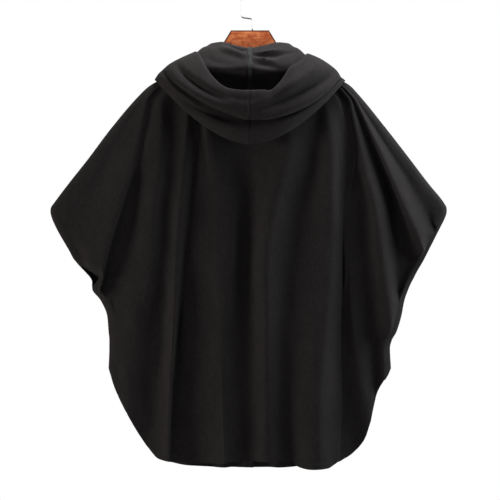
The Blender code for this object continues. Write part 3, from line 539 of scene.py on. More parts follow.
# --- creases and waves -------------------------------------------------------------------
def bow(start, bend, end, steps=24):
    """Points of a curve from start to end that passes near bend."""
    t = np.linspace(0.0, 1.0, steps)[:, None]
    start, bend, end = (np.array(p, float) for p in (start, bend, end))
    return start * (1 - t) ** 2 + bend * 2 * t * (1 - t) + end * t**2


def line_distance(points, line):
    """How far points are from a line in the plane, and the share of the line passed there."""
    best = np.full(len(points), np.inf)
    share = np.zeros(len(points))
    for k, (a, b) in enumerate(zip(line[:-1], line[1:])):
        d = b - a
        t = np.clip(((points - a) @ d) / max(d @ d, TINY), 0.0, 1.0)
        far = np.hypot(*(points - a - t[:, None] * d).T)
        nearer = far < best
        best[nearer] = far[nearer]
        share[nearer] = (k + t[nearer]) / (len(line) - 1)
    return best, share


def crease_height(points, rows):
    """How far the creases lift points, each fading towards its ends."""
    height = np.zeros(len(points))
    for start, bend, end, width, rise in rows:
        line = bow(start, bend, end)
        low, high = line.min(0) - CREASE_REACH * width, line.max(0) + CREASE_REACH * width
        near = np.where(((points > low) & (points < high)).all(axis=1))[0]
        far, share = line_distance(points[near], line)
        fade = np.sin(np.pi * np.clip(share, 0.0, 1.0)) ** CREASE_ENDS
        height[near] += rise * fade * np.exp(-((far / width) ** 2))
    return height


def drape(points, seed):
    """Gentle waves, longer down the cloth than across it."""
    rng = np.random.default_rng(seed)
    height = np.zeros(len(points))
    for _ in range(DRAPE_WAVES):
        across, down = rng.uniform(*DRAPE_ACROSS), rng.uniform(*DRAPE_DOWN)
        turn = rng.choice((-1.0, 1.0))
        phase, share = rng.uniform(0.0, 2 * np.pi), rng.uniform(*DRAPE_SHARES)
        waves = points[:, 0] / across + turn * points[:, 1] / down
        height += share * np.sin(2 * np.pi * waves + phase)
    return height * DRAPE_HEIGHT / math.sqrt(DRAPE_WAVES / 2)


def soften(values):
    """Rounds the creased lines a little, as cloth of some thickness does."""
    for _ in range(2):
        values[:, 1:-1] = (values[:, :-2] + 2 * values[:, 1:-1] + values[:, 2:]) / 4
    values[1:-1] = (values[:-2] + 2 * values[1:-1] + values[2:]) / 4
    return values


# --- cloak body --------------------------------------------------------------------------
# A line down a panel: the solid's columns up to it, its crispness and its lean, and functions
# that give its x and its rise at a drop.
Line = namedtuple("Line", "cells crisp lean x rise")


def narrowing(drop):
    """How much the fold lines draw together towards the neck."""
    def width(at):
        return OUTLINE.read("right", at) - OUTLINE.read("left_front", at)

    return width(np.minimum(drop, FOLD_DROPS[0])) / width(FOLD_DROPS[0])


def edge_line(side, step, cells):
    """A line beside a panel's edge."""
    inward, pinch = (-1, "right_pinch") if side == "right" else (1, "left_pinch")

    def x_at(drop):
        inset = step * EDGE.read(pinch, drop) * narrowing(drop)
        return OUTLINE.read(side, drop) + inward * inset

    return Line(cells, 0.0, 0.0, x_at, lambda drop: 0.0)


def fold_line(row, depth):
    _, cells, crisp, lean, xs, rises = row

    def rise_at(drop):
        fade = ease((drop - NECK_DROP) / (FOLD_DROPS[0] - NECK_DROP))
        return smooth(FOLD_DROPS, rises, drop) * fade * depth

    return Line(
        cells, crisp, lean, lambda drop: smooth(FOLD_DROPS, xs, drop) * narrowing(drop), rise_at,
    )


def front_line(side):
    """The open front edge. It stands clear of the other at the throat and laps it at the hem."""
    def closing(drop):
        top = NECK_DROP + FRONT_NECK_DIP
        return ease((drop - top) / (LOWEST - top))

    def x_at(drop):
        return side * (THROAT_HALF - (THROAT_HALF + FRONT_LAP) * closing(drop))

    return Line(
        1, 0.0, 0.0, x_at, lambda drop: side * LAP_RISE * ease(closing(drop) / LAP_RISE_BY),
    )


def panel_lines(panel, depth):
    """The lines that a panel's columns follow, from its left to its right."""
    lefts = [edge_line(panel.left, step, 1) for step in (0.0, *EDGE_STEPS)]
    rights = [edge_line("right", EDGE_STEPS[-1], 2)]
    rights += [edge_line("right", step, 1) for step in (*EDGE_STEPS[-2::-1], 0.0)]
    if panel.front < 0:
        rights = [front_line(-1)]
    if panel.front > 0:
        lefts = [front_line(1)]
    return lefts + [fold_line(row, depth) for row in panel.folds.rows] + rights


def hem_end(line, hem):
    """The drop at which a line meets the hem."""
    low, high = LEVEL_END, LOWEST
    while high - low > HEM_FOUND:
        middle = (low + high) / 2
        if middle < HEM.read(hem, line.x(middle)):
            low = middle
        else:
            high = middle
    return low


def row_across(lines, drops, at):
    """The x and the rise of one row, whose lines are met at their own drops. A line that would
    leave the panel is held beside its edge, where its fold runs out, and all stay in order."""
    drops = np.array(drops)
    cells, crisp, lean = (np.array(values) for values in list(zip(*lines))[:3])
    x = np.array([line.x(drop) for line, drop in zip(lines, drops)])
    rise = np.array([line.rise(drop) for line, drop in zip(lines, drops)])
    room = cells * LEAST_CELL * narrowing(drops)
    own_x = x.copy()
    for k in range(1, len(lines) - 1):
        x[k] = max(x[k], x[k - 1] + room[k])
    for k in range(len(lines) - 2, 0, -1):
        x[k] = min(x[k], x[k + 1] - room[k + 1])
    freedom = 1 - ease(np.abs(x - own_x) / HELD_FADE)
    rise *= freedom
    x -= lean * freedom * ease((drops - NECK_DROP) / (FOLD_DROPS[1] - NECK_DROP))
    before = np.clip(at.astype(int), 0, len(lines) - 2)
    after = before + 1
    t = at - before
    climb = t * t * (3 - 2 * t) + crisp[before] * t * (1 - t) ** 2 - crisp[after] * t * t * (1 - t)
    row_x = x[before] + (x[after] - x[before]) * t
    return row_x, rise[before] + (rise[after] - rise[before]) * climb


def body_reach(panel, x, rise, drop, level):
    """How far a row stands off the middle plane."""
    left, right = OUTLINE.read(panel.left, level), OUTLINE.read("right", level)
    across = np.abs(np.clip(2 * (x - left) / (right - left) - 1, -1.0, 1.0))
    edge = EDGE.read("reach", level) + SEAM_GAP / 2
    centre = CENTRE_REACH.read("reach", drop)
    plain = SIDE_REACH + (centre - SIDE_REACH) * (1 - across**BODY_SQUARE)
    folded = np.maximum(plain + rise, LEAST_REACH.read("reach", drop))
    turn = SHOULDER_TURN + (SIDE_TURN - SHOULDER_TURN) * ease((level - SLEEVE_DROP) / TURN_FADE)
    inset = np.clip(np.minimum(x - left, right - x) / turn, 0.0, 1.0)
    reach = edge + (folded - edge) * np.sqrt(1 - (1 - inset) ** 2)
    at_neck = panel.neck * (1 - across**2) ** (NECK_ROUND / 2) + SEAM_GAP / 2
    return at_neck + (reach - at_neck) * ease((level - NECK_DROP) / NECK_FADE)


def neck_dip(panel, x, level):
    across = np.clip(np.abs(x) / OUTLINE.read("right", level), 0.0, 1.0)
    fade = np.clip(1 - (level - NECK_DROP) / DIP_FADE, 0.0, 1.0)
    return panel.dip * (1 - across**panel.bend) * fade


def hem_edges(panel):
    """The hemmed edges of a panel, as lines of x and drop: its hem, its cuffs, its front edge."""
    ends = HEM.column("x")[[0, -1]]
    hem_x = np.linspace(*ends, HEM_POINTS)
    if panel.front:
        hem_x = hem_x[panel.front * hem_x > -FRONT_LAP]
    edges = [(hem_x, HEM.read(panel.hem, hem_x))]
    cuff = np.linspace(TIP_DROP, UNDERARM_DROP, CUFF_POINTS)
    for column, front in ((panel.left, 1), ("right", -1)):
        if panel.front != front:
            edges.append((OUTLINE.read(column, cuff), cuff))
    if panel.front:
        front = np.linspace(NECK_DROP + FRONT_NECK_DIP, FRONT_END, FRONT_POINTS)
        edges.append((front_line(panel.front).x(front), front))
    return [np.stack(edge, axis=1) for edge in edges]


def body_panel(panel, sizes):
    """The middle surface of a panel: rows from neckline to hem, columns from left to right."""
    lines = panel_lines(panel, sizes.fold_depth)
    cells = [line.cells * CELLS for line in lines[1:]]
    at = np.concatenate([[0.0]] + [i + np.arange(1, n + 1) / n for i, n in enumerate(cells)])
    rows = []
    for level in np.linspace(NECK_DROP, LEVEL_END, PANEL_ROWS + 1):
        x, rise = row_across(lines, [level] * len(lines), at)
        rows.append((x, rise, level + neck_dip(panel, x, level), np.full(len(x), level)))
    rows[0][2][:] += NECK_SEAM_GAP / 2
    ends = np.array([hem_end(line, panel.hem) for line in lines])
    hem_drop = HEM.read(panel.hem, row_across(lines, ends, at)[0])
    for share in np.linspace(0.0, 1.0, HEM_ROWS + 1)[1:]:
        drop = LEVEL_END + share * (hem_drop - LEVEL_END)
        rows.append((*row_across(lines, LEVEL_END + share * (ends - LEVEL_END), at), drop, drop))
    x, rise, drop, level = np.array(rows).transpose(1, 0, 2)
    flat = np.stack([x.ravel(), drop.ravel()], axis=1)
    lift = crease_height(flat, [row[1:] for row in panel.creases.rows]) * sizes.crease_depth
    lift += drape(flat, panel.seed) * ease((flat[:, 1] - FOLD_DROPS[0]) / FOLD_DROPS[0])
    rise = soften(rise + lift.reshape(rise.shape))
    x = soften(x)
    reach = np.array([body_reach(panel, *row) for row in zip(x, rise, drop, level)])
    edges = hem_edges(panel)
    raised = sum(1 - ease((line_distance(flat, edge)[0] - HEM_WIDTH) / HEM_EASE) for edge in edges)
    reach += HEM_RAISE * np.clip(raised, 0.0, 1.0).reshape(reach.shape)
    return np.stack([x, panel.side * reach, -drop], axis=2)


def closed_rows(grid):
    """The rows of a panel whose ends a seam closes: all but those of the open cuffs."""
    closed = EDGE.read("reach", np.linspace(NECK_DROP, LEVEL_END, PANEL_ROWS + 1)) == 0.0
    return np.concatenate([closed, np.ones(len(grid) - len(closed), bool)])


# --- hood --------------------------------------------------------------------------------
def hood_section(angle, side):
    """Where the hood's lines cross the section at an angle round the neck: 0 is the middle of
    the back and pi is the throat. x is counted away from the middle."""
    hand = "left_" if side < 0 else "right_"
    side_x, side_drop, bend = (HOOD_LINES.column(hand + name) for name in ("x", "drop", "bend"))
    sine, cosine = math.sin(angle), math.cos(angle)
    if cosine >= 0:
        x = np.maximum(side_x * sine, SEAM_GAP / 2)
        reach = -HOOD_LINES.column("back_reach") * cosine**NECK_ROUND
        fall = (HOOD_LINES.column("back_drop") - side_drop) * (1 - sine**bend)
    else:
        x = THROAT_HALF + (side_x - THROAT_HALF) * sine
        across = x / side_x
        reach = HOOD_LINES.column("throat_reach") * (1 - across**2) ** (NECK_ROUND / 2)
        fall = (HOOD_LINES.column("throat_drop") - side_drop) * (1 - across**FRONT_NECK_BEND)
    return np.stack([x, reach, -(side_drop + fall)], axis=1)


def sway_drop(x, at):
    """How far the hood's lines stray down at x."""
    drop = 0.0
    for line, lines_wide, place, width, most in HOOD_SWAYS.rows:
        drop = drop + most * np.exp(-(((at - line) / lines_wide) ** 2) - ((x - place) / width) ** 2)
    return drop


def hood_half(side, sizes):
    """The middle surface of half the hood, from neckline to face edge, with its creases."""
    angles = np.linspace(0.0, math.pi, HOOD_ROUND_CELLS + 1)
    sections = [through(hood_section(angle, side), HOOD_AT) for angle in angles]
    grid = np.array(sections).transpose(1, 0, 2)
    grid[0, :, 2] += NECK_SEAM_GAP / 2
    grid = grid * (side, 1.0, 1.0)
    behind = ease((math.pi / 2 - angles) / BEHIND_FADE)
    line = HOOD_AT[:, None]
    grid[..., 2] -= sway_drop(grid[..., 0], line) * behind
    seen = np.stack([grid[..., 0].ravel(), -grid[..., 2].ravel()], axis=1)
    lift = np.zeros(grid.shape[:2])
    for part, share in (("inside", ease(BAG_LINE - line)), ("outside", ease(line - BAG_LINE))):
        rows = [row[2:] for row in HOOD_CREASES.rows if row[1] == part]
        lift += crease_height(seen, rows).reshape(lift.shape) * share
    lift = lift * behind * ease(line / NECKLINE_FADE) * sizes.crease_depth
    runs = np.linalg.norm(np.diff(grid, axis=0), axis=2)
    to_edge = np.concatenate([np.cumsum(runs[::-1], axis=0)[::-1], np.zeros((1, len(angles)))])
    turned = np.clip(1 - to_edge / RIM_CURL, 0.0, 1.0)
    lift -= RIM_CURL * (1 - np.sqrt(1 - turned**2))
    normals = surface_normals(grid) * -side
    square_up(normals, (slice(None), 0), 0)
    return grid + normals * lift[..., None]


def binding_strip(sizes):
    """The middle surface of the binding, which lies on the hood's inside, over both halves."""
    at = np.linspace(*TAPE_SPAN, TAPE_CELLS + 1)
    across = TAPE_WIDTH / 2 * np.linspace(-1.0, 1.0, 2 * TAPE_HALF_CELLS + 1)
    left, right = (hood_half(side, sizes)[:, :SEAM_COLUMNS] for side in (-1.0, 1.0))
    grid = np.zeros((len(at), len(across), 3))
    grid[..., 0] = across
    for k, x in enumerate(across):
        half = left if x < 0 else right
        for axis in (1, 2):
            line = [np.interp(abs(x), np.abs(row[:, 0]), row[:, axis]) for row in half]
            grid[:, k, axis] = np.interp(at, HOOD_AT, line)
    return grid + surface_normals(grid) * (sizes.cloth / MM / 2 + TAPE_LIFT + TAPE / 2)


# --- solids ------------------------------------------------------------------------------
def unit(vectors):
    return vectors / np.maximum(np.linalg.norm(vectors, axis=-1, keepdims=True), TINY)


def surface_normals(grid):
    return unit(np.cross(np.gradient(grid, axis=0), np.gradient(grid, axis=1)))


def square_up(normals, where, axis):
    """Turns the normals of an edge into the plane of its seam, so that the two pieces' edges
    meet squarely."""
    edge = normals[where]
    edge[..., axis] = 0.0
    normals[where] = unit(edge)


def add_object(name, data):
    obj = bpy.data.objects.new(name, data)
    bpy.context.scene.collection.objects.link(obj)
    return obj


def solid(name, points, faces, made_of):
    mesh = bpy.data.meshes.new(name)
    mesh.from_pydata((np.asarray(points) * MM).tolist(), [], faces)
    mesh.materials.append(made_of)
    mesh.shade_smooth()
    mesh.set_sharp_from_angle(angle=math.radians(CLOTH_SHARP))
    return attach(add_object(name, mesh), "root")


def cloth_wall(name, grid, normals, thickness, made_of):
    """A closed wall about a middle surface, whose normals point out of its first face. Its rim
    is rounded by one more row of points."""
    behind = grid[..., 0].size
    middle, half = grid.reshape(-1, 3), normals.reshape(-1, 3) * thickness / 2
    index = np.arange(behind).reshape(grid.shape[:2])
    a, b, c, d = index[:-1, :-1], index[1:, :-1], index[1:, 1:], index[:-1, 1:]
    front = np.stack([a, b, c, d], axis=2).reshape(-1, 4)
    back = np.stack([a, d, c, b], axis=2).reshape(-1, 4) + behind
    rim = np.concatenate([index[0], index[1:, -1], index[-1, -2::-1], index[-2:0:-1, 0]])
    tangent = np.roll(middle[rim], -1, axis=0) - np.roll(middle[rim], 1, axis=0)
    outward = np.cross(normals.reshape(-1, 3)[rim], tangent)
    outward /= np.linalg.norm(outward, axis=1, keepdims=True) + TINY
    bulge = middle[rim] + outward * thickness * RIM_ROUND
    ridge = 2 * behind + np.arange(len(rim))
    following, after = np.roll(rim, -1), np.roll(ridge, -1)
    faces = [front, back, np.stack([rim, following, after, ridge], axis=1)]
    faces.append(np.stack([ridge, after, following + behind, rim + behind], axis=1))
    points = np.concatenate([middle + half, middle - half, bulge])
    return solid(name, points, np.concatenate(faces).tolist(), made_of)


def hang_cloth(node):
    """Hides the solid of a piece of cloth, whose place the new cloth takes."""
    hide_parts(node)


# --- stitches ----------------------------------------------------------------------------
def passed(line):
    """How much of a line is passed at each of its points."""
    runs = np.linalg.norm(np.diff(line, axis=0), axis=1)
    return np.concatenate([[0.0], np.cumsum(runs)])


def spaced(line, normals, step):
    """Places along a line every step: their points, tangents and normals."""
    along = passed(line)
    at = np.arange(step / 2, along[-1], step)

    def read(values):
        return np.stack([np.interp(at, along, values[:, k]) for k in range(3)], axis=1)

    return read(line), unit(read(np.gradient(line, along, axis=0))), unit(read(normals))


def stitches(name, lines, sizes):
    """Rows of stitches along lines, each a line of points with their normals, as one mesh."""
    length, gap, thread = (size / MM for size in (sizes.stitch, sizes.stitch_gap, sizes.thread))
    turns = (2 * np.pi * np.arange(STITCH_SIDES) / STITCH_SIDES)[None, :, None]
    points, faces, start = [], [], 0
    for line, normals in lines:
        centres, tangents, ups = spaced(line, normals, length + gap)
        sides = unit(np.cross(tangents, ups))
        outward = np.cos(turns) * sides[:, None] + np.sin(turns) * ups[:, None]
        block = []
        for along, girth, lift in STITCH_RINGS:
            centre = centres + tangents * along * length + ups * lift * thread / 2
            block.append(centre[:, None] + girth * thread / 2 * outward)
        points.append(np.stack(block, axis=1).reshape(-1, 3))
        index = start + np.arange(len(points[-1])).reshape(-1, len(STITCH_RINGS), STITCH_SIDES)
        near, far = index[:, :-1], index[:, 1:]
        quads = np.stack([near, far, np.roll(far, -1, axis=2), np.roll(near, -1, axis=2)], axis=3)
        faces += quads.swapaxes(0, 1).reshape(-1, 4).tolist()
        faces += index[:, 0].tolist() + index[:, -1, ::-1].tolist()
        start += len(points[-1])
    obj = solid(name, np.concatenate(points), faces, material("sewing_thread", sewing_thread))


def inset_line(edge, inward):
    """The line of stitches inside an edge. inward is a point that lies inside the panel."""
    tangent = np.gradient(edge, axis=0)
    normal = np.stack([-tangent[:, 1], tangent[:, 0]], axis=1)
    normal /= np.linalg.norm(normal, axis=1, keepdims=True)
    middle = len(edge) // 2
    if (np.array(inward) - edge[middle]) @ normal[middle] < 0:
        normal = -normal
    line = edge + normal * HEM_WIDTH
    return line[line_distance(line, edge)[0] > HEM_WIDTH * CORNER_SHARE]


def on_cloth(obj, line, side):
    """A line of x and drop laid on the outer face of a panel, with the face's normals."""
    mesh = obj.data
    faces = [tuple(face.vertices) for face in mesh.polygons]
    tree = BVHTree.FromPolygons([vertex.co for vertex in mesh.vertices], faces)
    along = passed(line)
    at = np.arange(0.0, along[-1], STITCH_LINE_STEP)
    points, normals = [], []
    for x, drop in zip(np.interp(at, along, line[:, 0]), np.interp(at, along, line[:, 1])):
        start = Vector((x * MM, side * STITCH_START, -drop * MM))
        place, normal, _, _ = tree.ray_cast(start, Vector((0.0, -side, 0.0)))
        if place is not None:
            points.append(place / MM)
            normals.append(normal)
    return np.array(points), np.array(normals)


def hood_stitches(side, sizes):
    """The line of stitches beside the hood's middle seam, and the one along its face edge."""
    grid = hood_half(side, sizes)
    normals = surface_normals(grid) * -side
    outer = grid + normals * (sizes.cloth / MM / 2)
    columns = np.arange(SEAM_COLUMNS)
    points, seam_normals = [], []
    for k in np.where(HOOD_AT > BAG_LINE - 1.0)[0]:
        share = np.interp(SEAM_STITCH_X, np.abs(grid[k, columns, 0]), columns)
        low, part = int(share), share - int(share)
        points.append(outer[k, low] * (1 - part) + outer[k, low + 1] * part)
        seam_normals.append(normals[k, low])
    face = np.argmin(np.abs(HOOD_AT - (HOOD_AT[-1] - FACE_STITCH)))
    free = slice(FACE_STITCH_ENDS, -FACE_STITCH_ENDS)
    return [
        (np.array(points), np.array(seam_normals)),
        (outer[face, free], normals[face, free]),
    ]


# --- materials ---------------------------------------------------------------------------
EVEN = (1.0, 1.0, 1.0)


class Nodes:
    """A short way to add and join the nodes of a material or a world."""

    def __init__(self, owner, last):
        owner.use_nodes = True
        self.owner, self.tree = owner, owner.node_tree
        self.last = self.tree.nodes[last]

    def add(self, kind, inputs, output=0, **settings):
        """A node with its inputs by name or by number. Gives one of its outputs."""
        node = self.tree.nodes.new(kind)
        for key, value in settings.items():
            setattr(node, key, value)
        for key, value in inputs.items():
            self.put(node.inputs[key], value)
        return node.outputs[output]

    def put(self, socket, value):
        if isinstance(value, bpy.types.NodeSocket):
            self.tree.links.new(value, socket)
        else:
            socket.default_value = value

    def place(self, scale=EVEN):
        where = self.add("ShaderNodeTexCoord", {}, "Object")
        return self.add("ShaderNodeMapping", {"Vector": where, "Scale": scale})

    def noise(self, scale, size, detail=2.0, rough=0.5):
        inputs = {"Vector": self.place(scale), "Scale": size, "Detail": detail, "Roughness": rough}
        return self.add("ShaderNodeTexNoise", inputs, "Fac")

    def ramp(self, factor, low, high, at):
        out = self.add("ShaderNodeValToRGB", {"Fac": factor}, "Color")
        for element, position, tint in zip(out.node.color_ramp.elements, at, (low, high)):
            element.position = position
            element.color = (*tint, 1.0)
        return out

    def spread(self, value, low, high, to_low, to_high):
        bounds = {"From Min": low, "From Max": high, "To Min": to_low, "To Max": to_high}
        return self.add("ShaderNodeMapRange", {"Value": value, **bounds}, "Result")

    def maths(self, operation, a, b):
        return self.add("ShaderNodeMath", {0: a, 1: b}, operation=operation)

    def total(self, *parts):
        """The sum of values, each times its share."""
        terms = [self.maths("MULTIPLY", value, share) for value, share in parts]
        while len(terms) > 1:
            terms[:2] = [self.maths("ADD", *terms[:2])]
        return terms[0]

    def mix(self, factor, a, b, blend="MIX"):
        inputs = {0: factor, 6: a, 7: b}
        return self.add("ShaderNodeMix", inputs, 2, data_type="RGBA", blend_type=blend)

    def bump(self, height, distance, strength, **below):
        inputs = {"Height": height, "Distance": distance, "Strength": strength, **below}
        return self.add("ShaderNodeBump", inputs, "Normal")

    def finish(self, **sockets):
        for key, value in sockets.items():
            self.put(self.last.inputs[key.replace("_", " ")], value)
        return self.owner


def surface(name):
    return Nodes(bpy.data.materials.new(name), "Principled BSDF")


def deeper(tint, share):
    return tuple(part * share for part in tint)


def brushed_wool(colours):
    """Dull wool coating: a short nap brushed down, felted fibres, small flecks and worn patches."""
    made = surface("brushed_wool")
    nap = made.noise((1.0, 1.0, 0.28), 1500.0, 4.0, 0.62)
    felt = made.noise((1.0, 1.0, 0.7), 420.0, 3.0, 0.55)
    fleck = made.noise((1.0, 1.0, 0.55), 210.0, 4.0, 0.7)
    patches = made.noise((1.0, 1.0, 0.4), 38.0, 3.0, 0.5)
    tone = made.total((nap, 0.3), (felt, 0.25), (fleck, 0.45))
    tone = made.maths("ADD", tone, made.spread(patches, 0.3, 0.7, -0.04, 0.04))
    return made.finish(
        Base_Color=made.ramp(tone, colours.wool_deep, colours.wool_raised, (0.3, 0.72)),
        Roughness=made.spread(felt, 0.0, 1.0, 0.86, 1.0),
        Normal=made.bump(nap, 0.00035, 0.35, Normal=made.bump(felt, 0.0006, 0.3)),
        Sheen_Weight=0.06,
        Sheen_Roughness=0.55,
        Sheen_Tint=(0.30, 0.28, 0.28, 1.0),
        Specular_IOR_Level=0.0,
    )


def twill_tape(colours):
    """Woven binding with fine slanting ribs."""
    made = surface("twill_tape")
    ribs = made.add(
        "ShaderNodeTexWave",
        {"Vector": made.place(), "Scale": 260.0, "Distortion": 0.6, "Detail": 2.0},
        "Fac", wave_type="BANDS", bands_direction="DIAGONAL",
    )
    tone = made.total((ribs, 0.6), (made.noise(EVEN, 900.0, 3.0), 0.4))
    return made.finish(
        Base_Color=made.ramp(tone, deeper(colours.binding, 0.55), colours.binding, (0.1, 0.8)),
        Roughness=0.82,
        Normal=made.bump(ribs, 0.0004, 0.8),
        Sheen_Weight=0.05,
        Sheen_Roughness=0.5,
        Specular_IOR_Level=0.02,
    )


def sewing_thread(colours):
    """Matt twisted thread."""
    made = surface("sewing_thread")
    ply = made.noise(EVEN, 2600.0)
    return made.finish(
        Base_Color=made.ramp(ply, deeper(colours.thread, 0.6), colours.thread, (0.3, 0.7)),
        Roughness=0.6,
        Normal=made.bump(ply, 0.0001, 0.6),
        Specular_IOR_Level=0.04,
    )


def varnished_wood(colours):
    """Orange-brown varnish over blotched wood with fine grain along the board, and painted shade on
    its edges.
    """
    made = surface("orange_varnish")
    blotch = made.noise((0.8, 1.0, 1.0), 95.0, 3.0, 0.6)
    figure = made.noise((0.25, 1.0, 1.0), 190.0, 4.0, 0.6)
    grain = made.noise((0.06, 1.0, 1.0), 900.0, 3.0, 0.6)
    tone = made.total((blotch, 0.62), (figure, 0.38))
    wood = made.ramp(tone, colours.wood_dark, colours.wood_light, (0.40, 0.58))
    lines = made.ramp(grain, (0.74, 0.70, 0.66), EVEN, (0.36, 0.56))
    wood = made.mix(1.0, wood, lines, "MULTIPLY")
    # Painted shade on the board's edges: faces that turn away from front and back are coloured
    # dark.
    normal = made.add("ShaderNodeNewGeometry", {}, "True Normal")
    facing = made.add("ShaderNodeSeparateXYZ", {"Vector": normal}, "Y")
    edge = made.spread(made.maths("ABSOLUTE", facing, 0.0), *BOARD_FLAT, 1.0, 0.0)
    return made.finish(
        Base_Color=made.mix(edge, wood, (*colours.wood_edge_shade, 1.0)),
        Roughness=made.spread(grain, 0.0, 1.0, 0.3, 0.48),
        Normal=made.bump(grain, 0.00012, 0.35),
        Coat_Weight=0.04,
        Coat_Roughness=0.14,
        Specular_IOR_Level=0.06,
    )


def plated_wire(colours):
    """Bright plated steel with faint drawing lines, and painted shade that darkens it at its
    crossing and its foot.
    """
    made = surface("plated_wire")
    lines = made.noise((1.0, 1.0, 0.05), 3000.0)
    height = made.add("ShaderNodeSeparateXYZ", {"Vector": made.place()}, "Z")
    # Painted shade: the bands above and below the crossing and at the foot, where the wire is
    # coloured dark.
    above, below, foot = (made.spread(height, *band, 0.0, 1.0) for band in SHADE_BANDS)
    painted_shade = made.maths("MAXIMUM", made.maths("MULTIPLY", above, below), foot)
    return made.finish(
        Base_Color=made.mix(painted_shade, (*colours.wire, 1.0), (*colours.wire_shade, 1.0)),
        Roughness=made.spread(lines, 0.0, 1.0, 0.14, 0.3),
        Metallic=1.0,
    )


def plain_floor():
    made = surface("pale_floor")
    tone = made.noise(EVEN, 30.0, 3.0)
    pale = made.ramp(tone, (0.78, 0.78, 0.78), (0.84, 0.84, 0.84), (0.3, 0.7))
    return made.finish(Base_Color=pale, Roughness=0.85)


def material(name, make):
    return bpy.data.materials.get(name) or make(bpy.context.scene.cloak_colours)


# --- operators ---------------------------------------------------------------------------
class CLOAK_OT_build_body(bpy.types.Operator):
    """Builds the back and the two fronts of the cloak on their solids' forms"""

    bl_idname = "cloak.build_body"
    bl_label = "Build the body"

    def execute(self, context):
        sizes = context.scene.cloak_sizes
        wool = material("brushed_wool", brushed_wool)
        for panel in PANELS:
            grid = body_panel(panel, sizes)
            normals = surface_normals(grid)
            for end, front in ((0, 1), (-1, -1)):
                if panel.front != front:
                    square_up(normals, (closed_rows(grid), end), 1)
            square_up(normals, (0, slice(None)), 2)
            obj = cloth_wall(panel.name, grid, normals, sizes.cloth / MM, wool)
            hang_cloth(panel.node)
        return {"FINISHED"}


class CLOAK_OT_build_hood(bpy.types.Operator):
    """Builds the hood's two halves and the binding of their seam"""

    bl_idname = "cloak.build_hood"
    bl_label = "Build the hood"

    def execute(self, context):
        sizes = context.scene.cloak_sizes
        wool = material("brushed_wool", brushed_wool)
        for half, side in (("hood_left", -1.0), ("hood_right", 1.0)):
            grid = hood_half(side, sizes)
            normals = surface_normals(grid)
            square_up(normals, (slice(None), [0, -1]), 0)
            square_up(normals, (0, slice(None)), 2)
            obj = cloth_wall("cloak_" + half, grid, normals, sizes.cloth / MM, wool)
            hang_cloth(half)
        grid, tape = binding_strip(sizes), material("twill_tape", twill_tape)
        obj = cloth_wall("hood_seam_binding", grid, surface_normals(grid), TAPE, tape)
        hang_cloth("hood_seam_tape")
        return {"FINISHED"}


class CLOAK_OT_sew(bpy.types.Operator):
    """Sews the hems, the cuffs, the hood's face edge and its middle seam"""

    bl_idname = "cloak.sew"
    bl_label = "Sew the cloak"

    def execute(self, context):
        sizes = context.scene.cloak_sizes
        for panel in PANELS:
            cloth, inside = bpy.data.objects[panel.name], (panel.inside, SLEEVE_DROP)
            lines = [inset_line(edge, inside) for edge in hem_edges(panel)]
            lines = [on_cloth(cloth, line, panel.side) for line in lines]
            lines = [line for line in lines if len(line[0]) > 2]
            stitches(panel.name + "_stitching", lines, sizes)
        lines = hood_stitches(-1.0, sizes) + hood_stitches(1.0, sizes)
        stitches("cloak_hood_stitching", lines, sizes)
        return {"FINISHED"}


class CLOAK_OT_dress_hanger(bpy.types.Operator):
    """Gives the hanger's board and its hook their finishes"""

    bl_idname = "cloak.dress_hanger"
    bl_label = "Finish the hanger"

    def execute(self, context):
        for node, name, make, sharp_from in (
            ("hanger_body", "orange_varnish", varnished_wood, 40.0),
            ("hanger_hook", "plated_wire", plated_wire, 70.0),
        ):
            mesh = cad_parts[node].data
            mesh.materials.clear()
            mesh.materials.append(material(name, make))
            mesh.shade_smooth()
            mesh.set_sharp_from_angle(angle=math.radians(sharp_from))
        return {"FINISHED"}


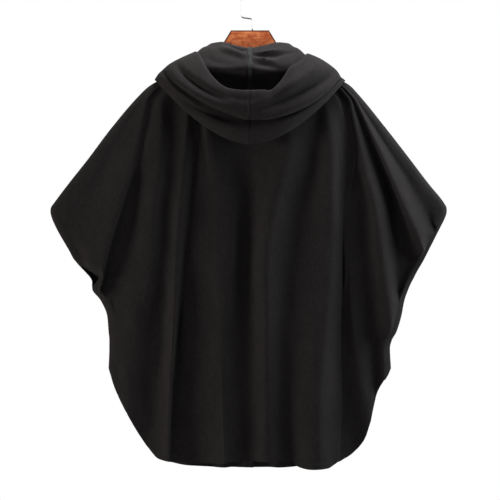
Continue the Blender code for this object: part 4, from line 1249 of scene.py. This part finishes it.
class CLOAK_OT_set_stage(bpy.types.Operator):
    """Sets the camera, a pale floor and soft studio light"""

    bl_idname = "cloak.set_stage"
    bl_label = "Set the stage"

    def execute(self, context):
        stage = context.scene.cloak_stage
        self.camera(context, stage)
        self.floor(stage)
        self.surroundings(context, stage)
        for name, place, size, tint in STUDIO_LIGHTS.rows:
            self.light(name, place, size, getattr(stage, name), tint, stage)
        context.scene.view_settings.view_transform = "Standard"
        return {"FINISHED"}

    def camera(self, context, stage):
        data = bpy.data.cameras.new("camera")
        data.sensor_width = SENSOR
        data.lens = data.sensor_width * stage.distance / stage.view_width
        camera = add_object("camera", data)
        camera.location = (0.0, -stage.distance, -stage.view_drop)
        camera.rotation_euler = (math.radians(90.0), 0.0, 0.0)
        context.scene.camera = camera

    def floor(self, stage):
        bpy.ops.mesh.primitive_circle_add(
            vertices=FLOOR_SIDES, radius=FLOOR_RADIUS, fill_type="NGON",
            location=(0.0, 0.0, -stage.floor_drop),
        )
        floor = bpy.context.object
        floor.name = "floor"
        floor.data.materials.append(plain_floor())

    def surroundings(self, context, stage):
        """Even white, at full strength to the camera and in reflections, and weak as a light."""
        made = Nodes(bpy.data.worlds.new("studio"), "World Output")
        made.tree.nodes.remove(made.tree.nodes["Background"])
        white = (*EVEN, 1.0)
        lit = made.add("ShaderNodeBackground", {"Color": white, "Strength": stage.ambient})
        seen = made.add("ShaderNodeBackground", {"Color": white})
        path = made.add("ShaderNodeLightPath", {}).node.outputs
        mirrored = made.maths("MAXIMUM", path["Is Camera Ray"], path["Is Glossy Ray"])
        mixed = made.add("ShaderNodeMixShader", {0: mirrored, 1: lit, 2: seen})
        context.scene.world = made.finish(Surface=mixed)

    def light(self, name, place, size, watts, tint, stage):
        data = bpy.data.lights.new(name, "AREA")
        data.shape = "DISK"
        data.size = size
        data.energy = watts
        data.color = tint
        light = add_object(name, data)
        light.location = place
        aim = Vector((0.0, 0.0, -stage.view_drop)) - light.location
        light.rotation_euler = aim.to_track_quat("-Z", "Y").to_euler()


class CLOAK_PT_panel(bpy.types.Panel):
    """Lists the cloak's operators and settings"""

    bl_label = "Cloak"
    bl_idname = "CLOAK_PT_panel"
    bl_space_type = "VIEW_3D"
    bl_region_type = "UI"
    bl_category = "Cloak"

    def draw(self, context):
        for operator in OPERATORS:
            self.layout.operator(operator.bl_idname)
        for name, cls in SETTINGS.items():
            box = self.layout.box()
            for setting in cls.__annotations__:
                box.prop(getattr(context.scene, name), setting)


OPERATORS = (
    CLOAK_OT_build_body,
    CLOAK_OT_build_hood,
    CLOAK_OT_sew,
    CLOAK_OT_dress_hanger,
    CLOAK_OT_set_stage,
)
SETTINGS = {"cloak_sizes": CloakSizes, "cloak_colours": CloakColours, "cloak_stage": CloakStage}
CLASSES = (*SETTINGS.values(), *OPERATORS, CLOAK_PT_panel)


def register():
    for cls in CLASSES:
        bpy.utils.register_class(cls)
    for name, cls in SETTINGS.items():
        setattr(bpy.types.Scene, name, bpy.props.PointerProperty(type=cls))


def unregister():
    for name in SETTINGS:
        delattr(bpy.types.Scene, name)
    for cls in reversed(CLASSES):
        bpy.utils.unregister_class(cls)


def main():
    register()
    bpy.ops.cloak.build_body()
    bpy.ops.cloak.build_hood()
    bpy.ops.cloak.sew()
    bpy.ops.cloak.dress_hanger()
    bpy.ops.cloak.set_stage()
    bpy.context.view_layer.update()


if __name__ == "__main__":
    main()
